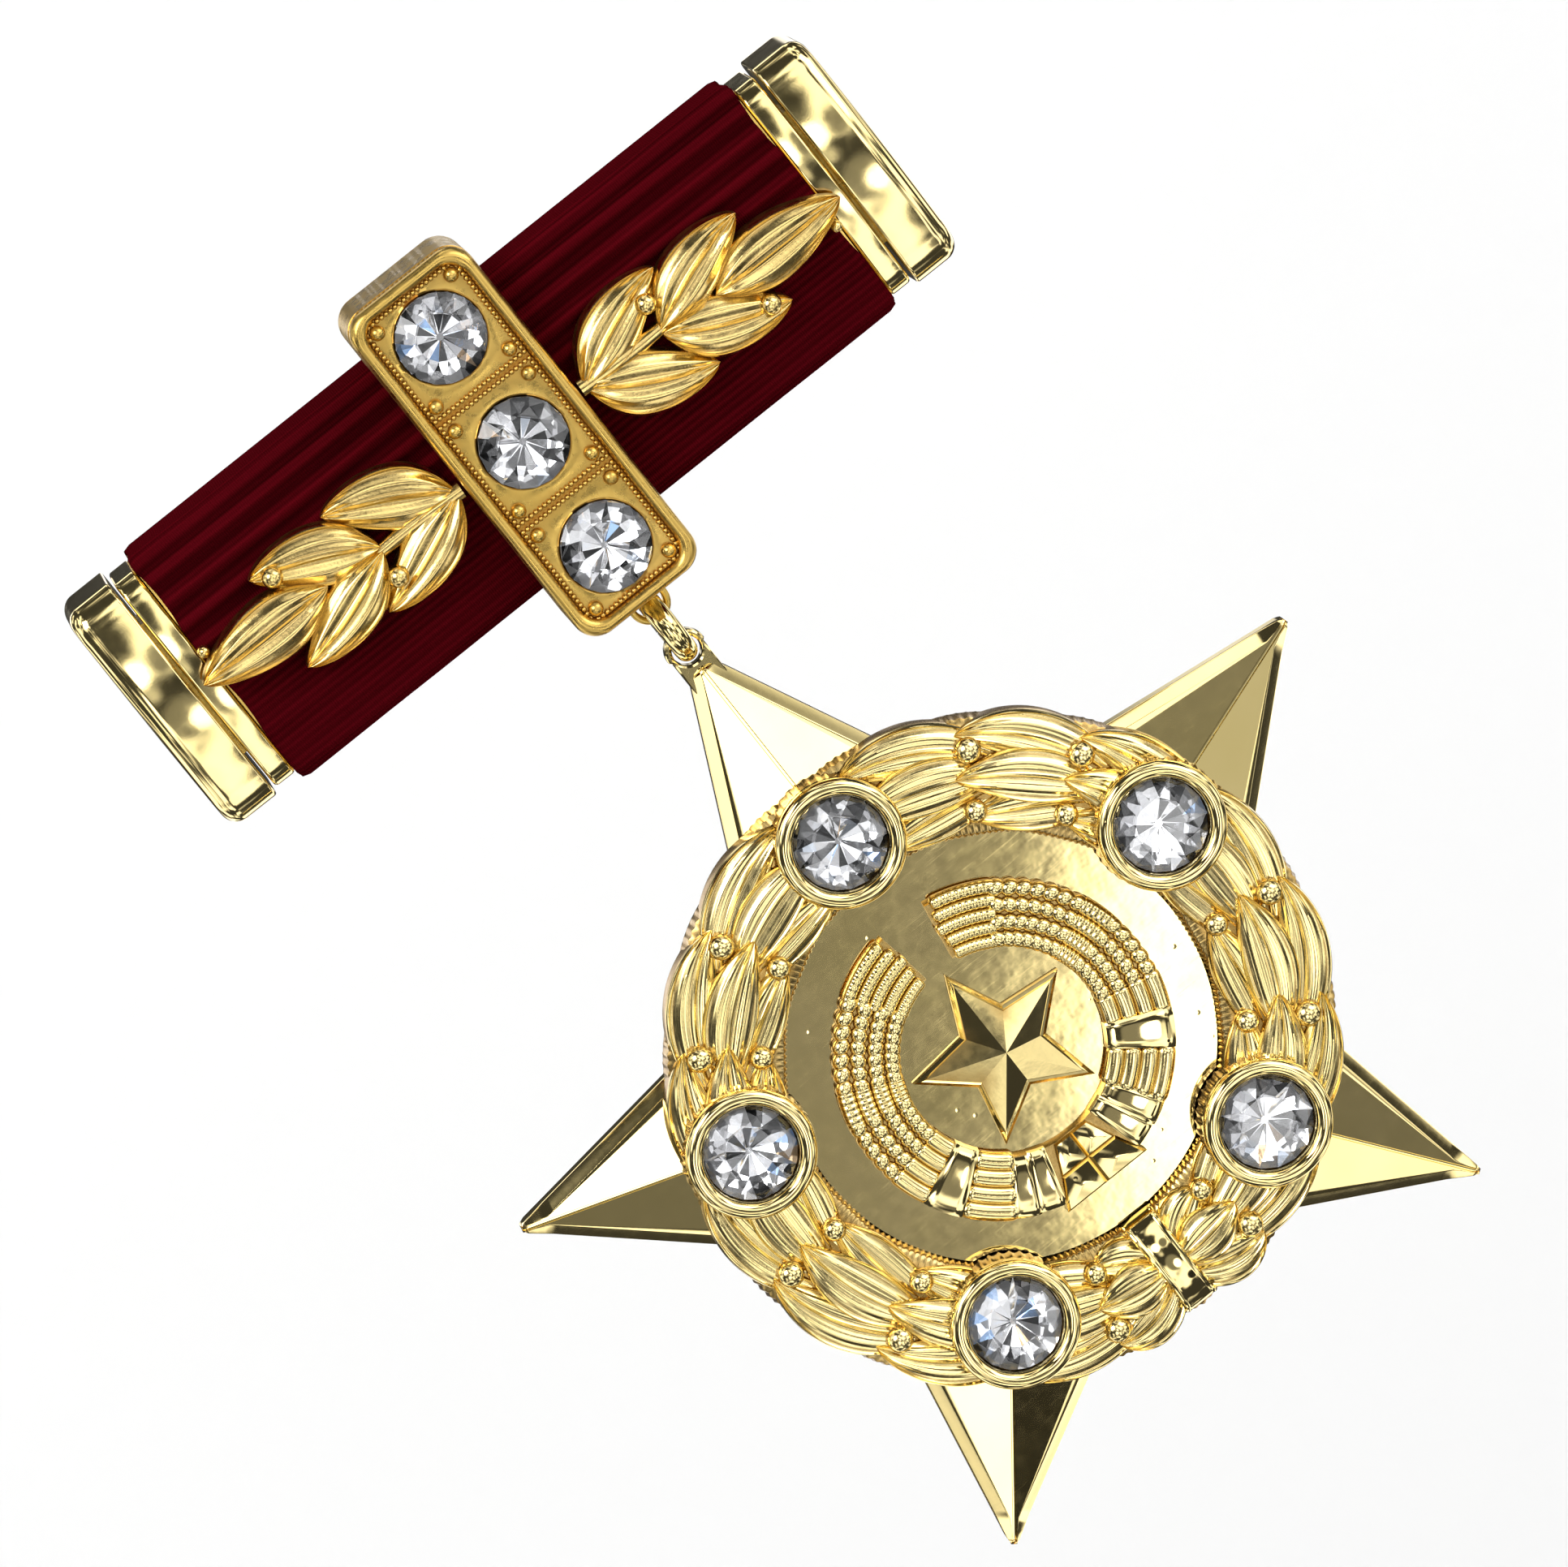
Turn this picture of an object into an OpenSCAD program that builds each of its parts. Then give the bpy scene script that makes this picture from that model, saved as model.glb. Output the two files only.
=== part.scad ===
/* [Ribbon bar] */
// Width of the ribbon, measured along the bar
ribbon_w = 32; // [27:0.5:38]
// Height of the ribbon-covered bar
ribbon_h = 12; // [10.5:0.5:14]
// Thickness of the ribbon cloth
ribbon_t = 0.4; // [0.3:0.05:0.6]
// Depth of the bar from the back of the ribbon to the front corners
bar_depth = 5.6; // [4.8:0.1:6.6]
// How far the front of the bar domes out past its corners
dome_rise = 0.6; // [0.4:0.1:0.8]
// Rounding of the bar's long front corners
corner_r = 1.2; // [0.9:0.1:1.5]
// Gap between the two ribbon tails on the back
tail_gap = 2; // [1:0.5:3]

/* [Bar ends] */
// Length of each collar along the bar
collar_w = 1.05; // [0.85:0.05:1.4]
// How far the collar lies inside the ribbon's outline
collar_inset = 0.5; // [0.4:0.05:0.6]
// Length of each end cap along the bar
cap_w = 2.4; // [2:0.1:3]
// How far the end cap lies inside the ribbon's outline
cap_inset = 0.25; // [0.2:0.05:0.35]
// Rounding of the end cap's outer edge
cap_round = 0.6; // [0.4:0.1:0.8]
// Width and height of the spigots that carry the caps
spigot_w = 3; // [2.5:0.1:3.6]
spigot_h = 7; // [6:0.5:8]

/* [Back plate and brooch] */
// Thickness of the back plate
plate_t = 0.6; // [0.5:0.05:0.8]
// Length of the back plate
plate_w = 31; // [29:0.5:31.8]
// Height of the back plate
plate_h = 10.8; // [9:0.2:12]
// Distance from the back plate to the axis of the brooch pin
pin_standoff = 2.2; // [2.1:0.1:2.6]
// Radius of the brooch pin
pin_r = 0.45; // [0.4:0.05:0.5]
// Length of the round, untapered part of the brooch pin
pin_len = 22.8; // [19:0.2:24]
// Length of the tapered point
pin_taper = 3.4; // [3:0.1:4]
// Radius of the hinge knuckle
knuckle_r = 1.1; // [1:0.05:1.3]
// Thickness of the hinge knuckle
knuckle_t = 1.6; // [1.4:0.1:1.9]
// Thickness of each hinge ear
ear_t = 0.5; // [0.4:0.05:0.6]
// Radius of the hinge rivet
rivet_r = 0.4; // [0.35:0.01:0.48]
// Running clearance of the hinge and the catch, on the radius
run_fit = 0.05; // [0.03:0.01:0.08]
// Outer radius of the catch housing
catch_r = 2.05; // [1.95:0.05:2.15]
// Wall of the catch housing
catch_wall = 0.55; // [0.45:0.05:0.6]
// Length of the catch housing
catch_len = 2; // [1.7:0.1:2.4]
// Radius of the hole in the turning catch
rotor_bore_r = 0.55; // [0.5:0.01:0.6]
// Reach of the catch's finger lever from its axis
lever_reach = 3.3; // [2.8:0.1:4]

/* [Clasp box] */
// Radius of the clasp box stones
clasp_stone_r = 1.95; // [1.65:0.05:2.2]
// Width of the raised rim along the sides of the clasp box
clasp_rim = 0.8; // [0.6:0.05:1]
// Gap between a stone and the rim beside it
clasp_margin = 0.35; // [0.3:0.05:0.5]
// Thickness of the clasp box's front plate
clasp_front_t = 1.8; // [1.7:0.05:2.1]
// Wall thickness of the clasp box
clasp_wall = 0.7; // [0.6:0.05:0.8]
// Overall depth of the clasp box, front to back
clasp_depth = 5.3; // [4.6:0.1:6]
// How far the clasp box stands past the bar at top and bottom
clasp_overhang = 2.55; // [2.2:0.05:3]
// Rounding of the clasp box corners
clasp_corner_r = 1.1; // [0.9:0.1:1.3]
// Radius of the bead grains that hold the clasp stones
grain_r = 0.33; // [0.28:0.01:0.38]

/* [Laurel sprays] */
// Thickness of the laurel sprays
spray_t = 1.05; // [0.9:0.05:1.2]
// Radius of the round berries on the sprays
spray_berry_r = 0.45; // [0.38:0.01:0.52]
// Radius of the posts that fix the trim to the back plate
post_r = 0.45; // [0.4:0.05:0.55]

/* [Hanger] */
// Wire radius of the jump ring
wire_r = 0.5; // [0.42:0.02:0.6]
// Mean radius of the jump ring
ring_r = 1.3; // [1.2:0.05:1.7]
// Clearance of the jump ring in its eyes, on the radius
eye_gap = 0.14; // [0.12:0.01:0.18]
// Metal round each eye
eye_wall = 0.3; // [0.25:0.05:0.4]
// Thickness of the two hanger lugs
lug_t = 0.8; // [0.7:0.05:0.9]
// Gap between the jump ring and the clasp box's end
ring_gap = 0.25; // [0.2:0.05:0.4]
// Depth position of the hanger behind the clasp box's front
hang_depth = 4.3; // [3.9:0.1:4.7]

/* [Star] */
// Radius of the star, centre to points
star_r = 21.8; // [18.1:0.1:26.2]
// Radius of the star's inner corners
star_inner_r = 10.8; // [9.6:0.1:13]
// Thickness of the star at its edge
edge_t = 1.2; // [1:0.05:1.5]
// Height of the star's ridges where they would meet
ridge_h = 3.1; // [2.6:0.1:3.7]
// Width of the small flats at the points
tip_flat = 0.4; // [0.3:0.05:0.5]
// How much of the top point is cut away below the eye
top_cut = 0.9; // [0.7:0.05:1.1]
// How far the cut top point lies below the eye
neck_len = 0.3; // [0.25:0.05:0.5]

/* [Medallion] */
// Inner radius of the laurel wreath
wreath_in_r = 9.4; // [8.6:0.1:10.2]
// Outer radius of the laurel wreath's leaves
wreath_out_r = 14.7; // [13.6:0.1:15.6]
// Height of the seat that the medallion lies in
seat_h = 1.2; // [1:0.05:1.2]
// Height of the wreath's body above the seat
wreath_body_t = 1.2; // [1:0.1:1.5]
// Height of the leaves above the wreath's body
leaf_t = 0.75; // [0.6:0.05:0.9]
// Number of leaf rows up each side of the wreath
leaf_rows = 13; // [9:1:15]
// Radius of the wreath's berries
berry_r = 0.55; // [0.45:0.05:0.6]
// Width of the tie at the foot of the wreath
tie_w = 1.6; // [1.3:0.1:2]
// Thickness of the polished field
field_t = 0.6; // [0.5:0.05:0.8]
// Outer radius of the grain wreath
ears_out_r = 7.45; // [6.6:0.05:8.4]
// Inner radius of the grain wreath
ears_in_r = 4.45; // [3.8:0.05:5]
// Height of the grain wreath above the field
ears_t = 0.75; // [0.6:0.05:0.9]
// Number of kernel rows up each side of the grain wreath
kernel_rows = 11; // [8:1:13]
// Height of the centre device above the field
device_t = 1.05; // [0.8:0.05:1.3]

/* [Star stones] */
// Radius of the star's stones
stone_r = 2.07; // [1.75:0.01:2.3]
// Wall of the bezel cups round the stones
bezel_wall = 0.76; // [0.6:0.02:0.9]
// Height of the bezel cups above the seat
bezel_h = 2.5; // [2.3:0.1:3]
// Distance of the bezel cups from the star's centre
bezel_ring_r = 11.66; // [11.2:0.02:12.4]

/* [Hidden] */
$fn = 48;
eps = 0.02;
seat_gap = 0.02;
trim_gap = 0.05;
gold = [0.83, 0.69, 0.33];
deep_gold = [0.80, 0.62, 0.25];
bright_gold = [0.90, 0.78, 0.45];
cloth_red = [0.38, 0.02, 0.05];
crystal = [0.86, 0.90, 0.96];
steel = [0.72, 0.70, 0.66];

// Bar, from the brooch pin's axis forwards
plate_back_y = -pin_standoff;
bar_back_y = plate_back_y - plate_t;
bar_flat_half = ribbon_h / 2 - corner_r;
dome_r = (bar_flat_half * bar_flat_half + dome_rise * dome_rise) / (2 * dome_rise);
bar_front_y = bar_back_y - bar_depth - dome_rise;
core_half = ribbon_w / 2;
collar_gap = 0.05;
cap_gap = 0.15;
collar_x = core_half + collar_gap;
cap_x = collar_x + collar_w + cap_gap;
pocket_d = cap_w - 1;
spigot_y = bar_back_y - bar_depth / 2;

// Clasp box
clasp_half_w = clasp_stone_r + clasp_margin + clasp_rim;
clasp_half = ribbon_h / 2 + clasp_overhang;
clasp_back_face_y = bar_front_y - 0.1;
clasp_front_y = clasp_back_face_y - clasp_front_t;
clasp_rear_y = clasp_front_y + clasp_depth;
clasp_end_rim = clasp_rim;
clasp_pitch = clasp_half - clasp_end_rim - 0.2 - clasp_stone_r;
cell_floor = 0.25;
cell_split = 0.3;
stone_sink = 0.35;
ledge_w = 0.3;
post_bite = 0.8;

// Sprays
spray_y = bar_front_y - trim_gap;
spray_len = collar_x + collar_w / 2 - clasp_half_w - trim_gap;
leaf_scale = spray_len / 14;
post_z = clasp_pitch / 2;
spray_post_x = clasp_half_w + spray_len * 0.35;
fruit_seat = 0.45;
// Each leaf: distance out from the box, height, angle, length, width
spray_leaves = [
    [10.9, 0.3, 0, 6.2, 2.5],
    [7.1, 1.4, 21, 5.7, 2.3],
    [2.9, 1.35, 26, 5.8, 2.3],
    [7.3, -0.9, -17, 5.8, 2.2],
    [2.9, -1.1, -19, 5.8, 2.2]
];
// Each berry: distance out from the box and height
spray_fruit = [[8.9, 2.05], [4.6, -1.25]];

// Hanger
hang_y = clasp_front_y + hang_depth;
eye_r = wire_r + eye_gap;
lug_r = eye_r + eye_wall;
lug_drop = wire_r + ring_gap;
top_eye_z = -clasp_half - lug_drop;
ring_z = top_eye_z - ring_r;
star_eye_z = ring_z - ring_r;

// Star
star_top = star_r - top_cut;
star_z = star_eye_z - eye_r - neck_len - star_top;
star_back_y = hang_y + lug_t / 2 + 0.2;
point_r = star_r + tip_flat * 1.05;

// Medallion
bezel_r = stone_r + bezel_wall;
field_r = wreath_in_r - 0.05;
field_top = seat_h + field_t;
leaf_base = seat_h + wreath_body_t;
wreath_mid_r = (wreath_in_r + wreath_out_r) / 2;
row_angle = 172 / (leaf_rows + 1);
device_r = ears_in_r - 0.35;
// Angles up from the foot of the grain wreath
ears_from = 17;
ears_to = 172;
band_from = 52;
band_to = 68;
foot_half = 12;

// Catch and hinge
hinge_x = -pin_len / 2 - 1;
taper_x = pin_len / 2;
catch_x = taper_x + 1.3;
catch_in_r = catch_r - catch_wall;
rotor_r = catch_in_r - run_fit;
rotor_slot = 2 * rotor_bore_r;
flange_r = catch_in_r + 0.3;
flange_t = 0.4;
flange_gap = 0.08;

// ---- shared shapes ----

// Stands a shape drawn flat so that its thickness grows towards the front
module facing(y, x = 0, z = 0) {
    translate([x, y, z]) rotate([90, 0, 0]) children();
}

// Runs a section, drawn depth by height, along the bar
module along_bar(x, len) {
    translate([x, bar_back_y, 0]) rotate([90, 0, -90])
        linear_extrude(len, center = true) children();
}

// The bar's section: a box with rounded front corners and a domed front
module bar_section(inset) {
    r = corner_r - inset;
    front = bar_depth - inset;
    half = ribbon_h / 2 - inset;
    translate([inset, -half]) square([front - r - inset, 2 * half]);
    translate([inset, -bar_flat_half]) square([front - inset, 2 * bar_flat_half]);
    for (s = [-1, 1]) translate([front - r, s * bar_flat_half]) circle(r);
    intersection() {
        translate([bar_depth + dome_rise - dome_r, 0]) circle(dome_r - inset, $fn = 96);
        translate([bar_depth / 2, -bar_flat_half]) square([bar_depth, 2 * bar_flat_half]);
    }
}

module rounded(w, h, r) {
    square([w - 2 * r, h], center = true);
    square([w, h - 2 * r], center = true);
    for (x = [-1, 1], y = [-1, 1])
        translate([x * (w / 2 - r), y * (h / 2 - r)]) circle(r);
}

// A pointed leaf outline lying along X, from the overlap of two circles
module leaf_outline(len, wid) {
    r = (len * len / 4 + wid * wid / 4) / wid;
    intersection() {
        translate([0, r - wid / 2]) circle(r, $fn = 64);
        translate([0, wid / 2 - r]) circle(r, $fn = 64);
    }
}

// A brilliant-cut stone: girdle at height 0, table up, point down
module stone(r, crown, pavilion, band = 0.12) {
    rotate_extrude() polygon([
        [0, -pavilion], [0.12, -pavilion], [r - ledge_w - 0.04, -band], [r, -band],
        [r, 0], [0.58 * r, crown], [0, crown]
    ]);
}

// The medallion's own plane: height 0 is the back of the star
module on_star() {
    facing(star_back_y, 0, star_z) children();
}

function bezel_angle(i) = 90 - 72 * i;

module at_bezel(i) {
    rotate(bezel_angle(i)) translate([bezel_ring_r, 0, 0]) children();
}

// ---- bar ----

// Places of the four posts that hold the clasp box and the sprays
module each_post() {
    for (s = [-1, 1]) {
        facing(0, 0, s * post_z) children();
        facing(0, s * spray_post_x, 0) children();
    }
}

module post_holes() {
    each_post() cylinder(r = post_r + seat_gap, h = 20);
}

module back_plate() {
    color(gold) difference() {
        facing(plate_back_y) linear_extrude(plate_t) rounded(plate_w, plate_h, 1.5);
        post_holes();
    }
}

module spigot_section(gap) {
    translate([bar_depth / 2, 0])
        square([spigot_w + 2 * gap, spigot_h + 2 * gap], center = true);
}

module bar_core() {
    color(gold) difference() {
        union() {
            along_bar(0, ribbon_w) bar_section(ribbon_t);
            along_bar(0, 2 * (cap_x + pocket_d - 0.1)) spigot_section(0);
        }
        post_holes();
    }
}

module ribbon() {
    color(cloth_red) difference() {
        along_bar(0, ribbon_w) difference() {
            bar_section(0);
            bar_section(ribbon_t);
            translate([-0.1, -tail_gap / 2]) square([ribbon_t + 0.2, tail_gap]);
        }
        post_holes();
    }
}

module end_collar(side) {
    color(bright_gold) along_bar(side * (collar_x + collar_w / 2), collar_w) difference() {
        bar_section(collar_inset);
        spigot_section(seat_gap);
    }
}

module end_cap(side) {
    color(bright_gold) difference() {
        for (step = [0 : 3]) {
            drop = cap_round * (1 - cos(step * 25));
            reach = cap_w - cap_round + cap_round * sin(step * 25);
            along_bar(side * (cap_x + reach / 2), reach) bar_section(cap_inset + drop);
        }
        along_bar(side * (cap_x + pocket_d / 2 - 0.5), pocket_d + 1) spigot_section(seat_gap);
    }
}

// ---- clasp box ----

module clasp_box() {
    color(deep_gold) difference() {
        union() {
            facing(clasp_rear_y) linear_extrude(clasp_depth)
                rounded(2 * clasp_half_w, 2 * clasp_half, clasp_corner_r);
            clasp_lug();
        }
        // hollow behind the front plate
        facing(clasp_rear_y + eps) linear_extrude(clasp_depth - clasp_front_t + eps)
            rounded(2 * (clasp_half_w - clasp_wall), 2 * (clasp_half - clasp_wall), 0.5);
        // saddle over the ribbon
        along_bar(0, 2 * clasp_half_w + 1) bar_section(-trim_gap);
        // three sunk cells
        for (i = [-1 : 1]) cell_cut(i);
        // round seats for the stones
        for (i = [-1 : 1]) facing(clasp_front_y + stone_sink, 0, i * clasp_pitch)
            cylinder(r = clasp_stone_r + seat_gap, h = 2);
        for (i = [-1 : 1]) facing(clasp_front_y + stone_sink, 0, i * clasp_pitch)
            translate([0, 0, -1.2])
                cylinder(r1 = 0.25, r2 = clasp_stone_r - ledge_w, h = 1.2 + eps);
        // blind holes for the two posts
        for (s = [-1, 1]) facing(clasp_back_face_y + 1, 0, s * post_z)
            cylinder(r = post_r + seat_gap, h = 1 + post_bite + 0.05);
        // eye for the jump ring
        facing(hang_y + 2, 0, top_eye_z) cylinder(r = eye_r, h = 4);
    }
}

function cell_low(i) = i == -1 ? -clasp_half + clasp_end_rim : (i - 0.5) * clasp_pitch + cell_split;
function cell_high(i) = i == 1 ? clasp_half - clasp_end_rim : (i + 0.5) * clasp_pitch - cell_split;

module cell_cut(i) {
    half_w = clasp_half_w - clasp_rim;
    facing(clasp_front_y + cell_floor, -half_w, cell_low(i))
        cube([2 * half_w, cell_high(i) - cell_low(i), 1]);
}

module clasp_lug() {
    facing(hang_y + lug_t / 2, 0, top_eye_z) {
        cylinder(r = lug_r, h = lug_t);
        translate([-lug_r, 0, 0]) cube([2 * lug_r, lug_drop + clasp_wall / 2, lug_t]);
    }
}

module clasp_stone(i) {
    color(crystal) facing(clasp_front_y + stone_sink, 0, i * clasp_pitch)
        translate([0, 0, 0.14]) stone(clasp_stone_r, 0.45, 1.1);
}

// Four bead grains in the corners of each cell
module clasp_beads() {
    bead_x = clasp_half_w - clasp_rim - grain_r - 0.02;
    color(deep_gold) for (i = [-1 : 1], s = [-1, 1], z = [cell_low(i) + grain_r + 0.02,
                                                         cell_high(i) - grain_r - 0.02])
        facing(clasp_front_y + cell_floor, s * bead_x, z) intersection() {
            translate([0, 0, 0.08]) sphere(grain_r);
            translate([0, 0, 1]) cube(2, center = true);
        }
}

// ---- laurel sprays ----

module spray_outline() {
    for (l = spray_leaves)
        translate([l[0] * leaf_scale, l[1]]) rotate(l[2])
            leaf_outline(l[3] * leaf_scale, l[4]);
    translate([0, -0.35]) square([8.5 * leaf_scale, 0.7]);
}

// The left spray runs out along -X; the right one is the same, turned upside down
module beside_clasp(side) {
    facing(spray_y) mirror(side < 0 ? [1, 0, 0] : [0, 1, 0])
        translate([clasp_half_w + trim_gap, 0, 0]) children();
}

module spray(side) {
    color(gold) beside_clasp(side) difference() {
        intersection() {
            linear_extrude(spray_t) intersection() {
                spray_outline();
                translate([0, -5]) square([spray_len, 10]);
            }
            // crowned face, falling away above and below the stem
            translate([spray_len / 2, 0, spray_t - 7]) rotate([0, 90, 0])
                cylinder(r = 7, h = spray_len + 2, center = true, $fn = 96);
        }
        for (f = spray_fruit) translate([f[0] * leaf_scale, f[1], fruit_seat])
            cylinder(r = spray_berry_r + seat_gap, h = 2);
        translate([spray_post_x - clasp_half_w - trim_gap, 0, -1])
            cylinder(r = post_r + seat_gap, h = 1.4);
    }
}

module spray_berries() {
    color(gold) for (side = [-1, 1]) beside_clasp(side)
        for (f = spray_fruit) translate([f[0] * leaf_scale, f[1], fruit_seat]) {
            cylinder(r = spray_berry_r, h = 0.5);
            translate([0, 0, 0.5]) intersection() {
                sphere(spray_berry_r);
                translate([0, 0, 1]) cube(2, center = true);
            }
        }
}

// Posts through the bar, peened over on the back plate
module fixing_posts() {
    head_t = 0.3;
    color(gold) for (s = [-1, 1]) {
        facing(plate_back_y, 0, s * post_z)
            cylinder(r = post_r, h = plate_back_y - clasp_back_face_y + post_bite);
        facing(plate_back_y, s * spray_post_x, 0)
            cylinder(r = post_r, h = plate_back_y - spray_y + 0.35);
    }
    color(gold) for (s = [-1, 1]) {
        facing(plate_back_y + head_t, 0, s * post_z) cylinder(r1 = post_r, r2 = 0.75, h = head_t);
        facing(plate_back_y + head_t, s * spray_post_x, 0)
            cylinder(r1 = post_r, r2 = 0.75, h = head_t);
    }
}

// ---- brooch pin, hinge and catch ----

module hinge_bracket() {
    inner = knuckle_t / 2 + 0.1;
    color(gold) difference() {
        union() {
            translate([hinge_x - 1.6, plate_back_y, -inner - ear_t])
                cube([3.2, 0.45, 2 * (inner + ear_t)]);
            for (s = [0, 1]) mirror([0, 0, s]) translate([hinge_x, 0, inner]) {
                cylinder(r = knuckle_r, h = ear_t);
                translate([-knuckle_r, plate_back_y, 0]) cube([2 * knuckle_r, pin_standoff, ear_t]);
            }
        }
        translate([hinge_x, 0, -5]) cylinder(r = rivet_r + seat_gap, h = 10);
    }
}

module hinge_rivet() {
    out = knuckle_t / 2 + 0.1 + ear_t;
    color(steel) translate([hinge_x, 0, 0]) {
        cylinder(r = rivet_r, h = 2 * out, center = true);
        for (s = [0, 1]) mirror([0, 0, s]) translate([0, 0, out])
            cylinder(r1 = rivet_r + 0.3, r2 = rivet_r, h = 0.25);
    }
}

module brooch_pin() {
    color(steel) difference() {
        union() {
            translate([hinge_x, 0, 0]) cylinder(r = knuckle_r, h = knuckle_t, center = true);
            translate([hinge_x + 0.7, 0, 0]) rotate([0, 90, 0])
                cylinder(r = pin_r, h = taper_x - hinge_x - 0.7);
            translate([taper_x, 0, 0]) rotate([0, 90, 0])
                cylinder(r1 = pin_r, r2 = 0.08, h = pin_taper);
        }
        translate([hinge_x, 0, -5]) cylinder(r = rivet_r + run_fit, h = 10);
    }
}

module catch_housing() {
    slot = rotor_slot + 0.1;
    color(gold) difference() {
        union() {
            translate([catch_x, 0, 0]) rotate([0, 90, 0]) cylinder(r = catch_r, h = catch_len);
            translate([catch_x, plate_back_y, -1.4]) cube([catch_len, 0.8, 2.8]);
        }
        translate([catch_x - 1, 0, 0]) rotate([0, 90, 0]) cylinder(r = catch_in_r, h = catch_len + 2);
        translate([catch_x - 1, 0, -slot / 2]) cube([catch_len + 2, 4, slot]);
    }
}

module catch_rotor() {
    body = catch_len + 2 * flange_gap;
    color(gold) translate([catch_x - flange_gap, 0, 0]) difference() {
        union() {
            rotate([0, 90, 0]) cylinder(r = rotor_r, h = body);
            translate([-flange_t, 0, 0]) rotate([0, 90, 0]) cylinder(r = flange_r, h = flange_t);
            translate([body, 0, 0]) rotate([0, 90, 0]) cylinder(r = flange_r, h = flange_t);
            translate([body, -0.5, -lever_reach + 0.5]) cube([flange_t, 1, lever_reach - 0.5]);
            translate([body, 0, -lever_reach + 0.5]) rotate([0, 90, 0])
                cylinder(r = 0.5, h = flange_t);
        }
        translate([-2, 0, 0]) rotate([0, 90, 0]) cylinder(r = rotor_bore_r, h = body + 4);
        translate([-2, 0, -rotor_bore_r]) cube([body + 4, 4, rotor_slot]);
    }
}

// ---- hanger ----

module jump_ring() {
    color(bright_gold) translate([0, hang_y, ring_z]) rotate([0, 90, 0])
        rotate_extrude() translate([ring_r, 0]) circle(wire_r, $fn = 32);
}

// ---- star ----

function star_corner(i) =
    let (r = i % 2 == 0 ? point_r : star_inner_r, a = 90 + 36 * i) [r * cos(a), r * sin(a)];

module star_body() {
    n = 10;
    points = concat(
        [for (i = [0 : n - 1]) [star_corner(i)[0], star_corner(i)[1], 0]],
        [for (i = [0 : n - 1]) [star_corner(i)[0], star_corner(i)[1], edge_t]],
        [[0, 0, ridge_h], [0, 0, 0]]
    );
    faces = concat(
        [for (i = [0 : n - 1]) [i, (i + 1) % n, 2 * n + 1]],
        [for (i = [0 : n - 1]) [i, n + i, n + (i + 1) % n, (i + 1) % n]],
        [for (i = [0 : n - 1]) [n + i, 2 * n, n + (i + 1) % n]]
    );
    intersection() {
        polyhedron(points, faces);
        difference() {
            cylinder(r = star_r, h = 3 * ridge_h, center = true, $fn = 96);
            translate([-2, star_top, -5]) cube([4, 5, 10]);
        }
    }
}

module star_plate() {
    lug_y = star_eye_z - star_z;
    color(bright_gold) on_star() difference() {
        union() {
            difference() {
                star_body();
                translate([0, 0, seat_h]) cylinder(r = wreath_out_r + 0.15, h = 5, $fn = 96);
                translate([0, 0, seat_h]) linear_extrude(5) bezel_clearance();
            }
            translate([0, lug_y, 0.2]) cylinder(r = lug_r, h = lug_t);
            translate([-lug_r, star_top - 1.4, 0.2])
                cube([2 * lug_r, lug_y - star_top + 1.4, lug_t]);
        }
        translate([0, lug_y, -1]) cylinder(r = eye_r, h = 5);
    }
}

// ---- medallion ----

module bezel_clearance() {
    for (i = [0 : 4]) at_bezel(i) circle(bezel_r + seat_gap);
}

// Angle up from the foot of the wreath, on either side
module up_side(side, a, r) {
    rotate(-90 + side * a) translate([r, 0]) children();
}

// Three leaves abreast, pointing up the wreath
module leaf_row(side, a) {
    w = (wreath_out_r - wreath_in_r) / 3;
    l = 2 * PI * wreath_mid_r * row_angle / 360 * 1.15;
    for (k = [-1 : 1])
        up_side(side, a + (k == 0 ? row_angle * 0.22 : 0), wreath_mid_r + k * w)
            rotate(side * (90 - k * 9)) leaf_outline(l, w * 1.02);
}

// Berries sit in pairs between every second row of leaves
module berry_places() {
    for (side = [-1, 1], j = [2 : 3 : leaf_rows - 1], k = [-1, 1])
        up_side(side, 6 + (j - 0.5) * row_angle, wreath_mid_r + k * 1.5) children();
}

module wreath_keep_out() {
    bezel_clearance();
    translate([-tie_w / 2 - seat_gap, -wreath_out_r - 1]) square([tie_w + 2 * seat_gap, wreath_out_r]);
}

module laurel_wreath() {
    color(gold) on_star() {
        translate([0, 0, seat_h]) linear_extrude(wreath_body_t) difference() {
            circle(wreath_out_r - 0.5, $fn = 96);
            circle(wreath_in_r, $fn = 96);
            wreath_keep_out();
        }
        translate([0, 0, leaf_base]) linear_extrude(leaf_t) difference() {
            intersection() {
                for (side = [-1, 1], j = [1 : leaf_rows]) leaf_row(side, 3 + (j - 0.2) * row_angle);
                difference() {
                    circle(wreath_out_r, $fn = 96);
                    circle(wreath_in_r, $fn = 96);
                }
            }
            berry_places() circle(berry_r + seat_gap);
            wreath_keep_out();
        }
    }
}

module wreath_tie() {
    len = wreath_out_r - wreath_in_r - 0.1;
    color(gold) on_star() translate([0, -wreath_mid_r, seat_h]) {
        translate([-tie_w / 2, -len / 2, 0])
            cube([tie_w, len, wreath_body_t + leaf_t]);
        translate([0, 0, wreath_body_t + leaf_t]) intersection() {
            translate([0, 0, 0.25 - 3]) rotate([90, 0, 0])
                cylinder(r = 3, h = len, center = true, $fn = 96);
            translate([-tie_w / 2, -len, 0]) cube([tie_w, 2 * len, 1]);
        }
    }
}

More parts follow.
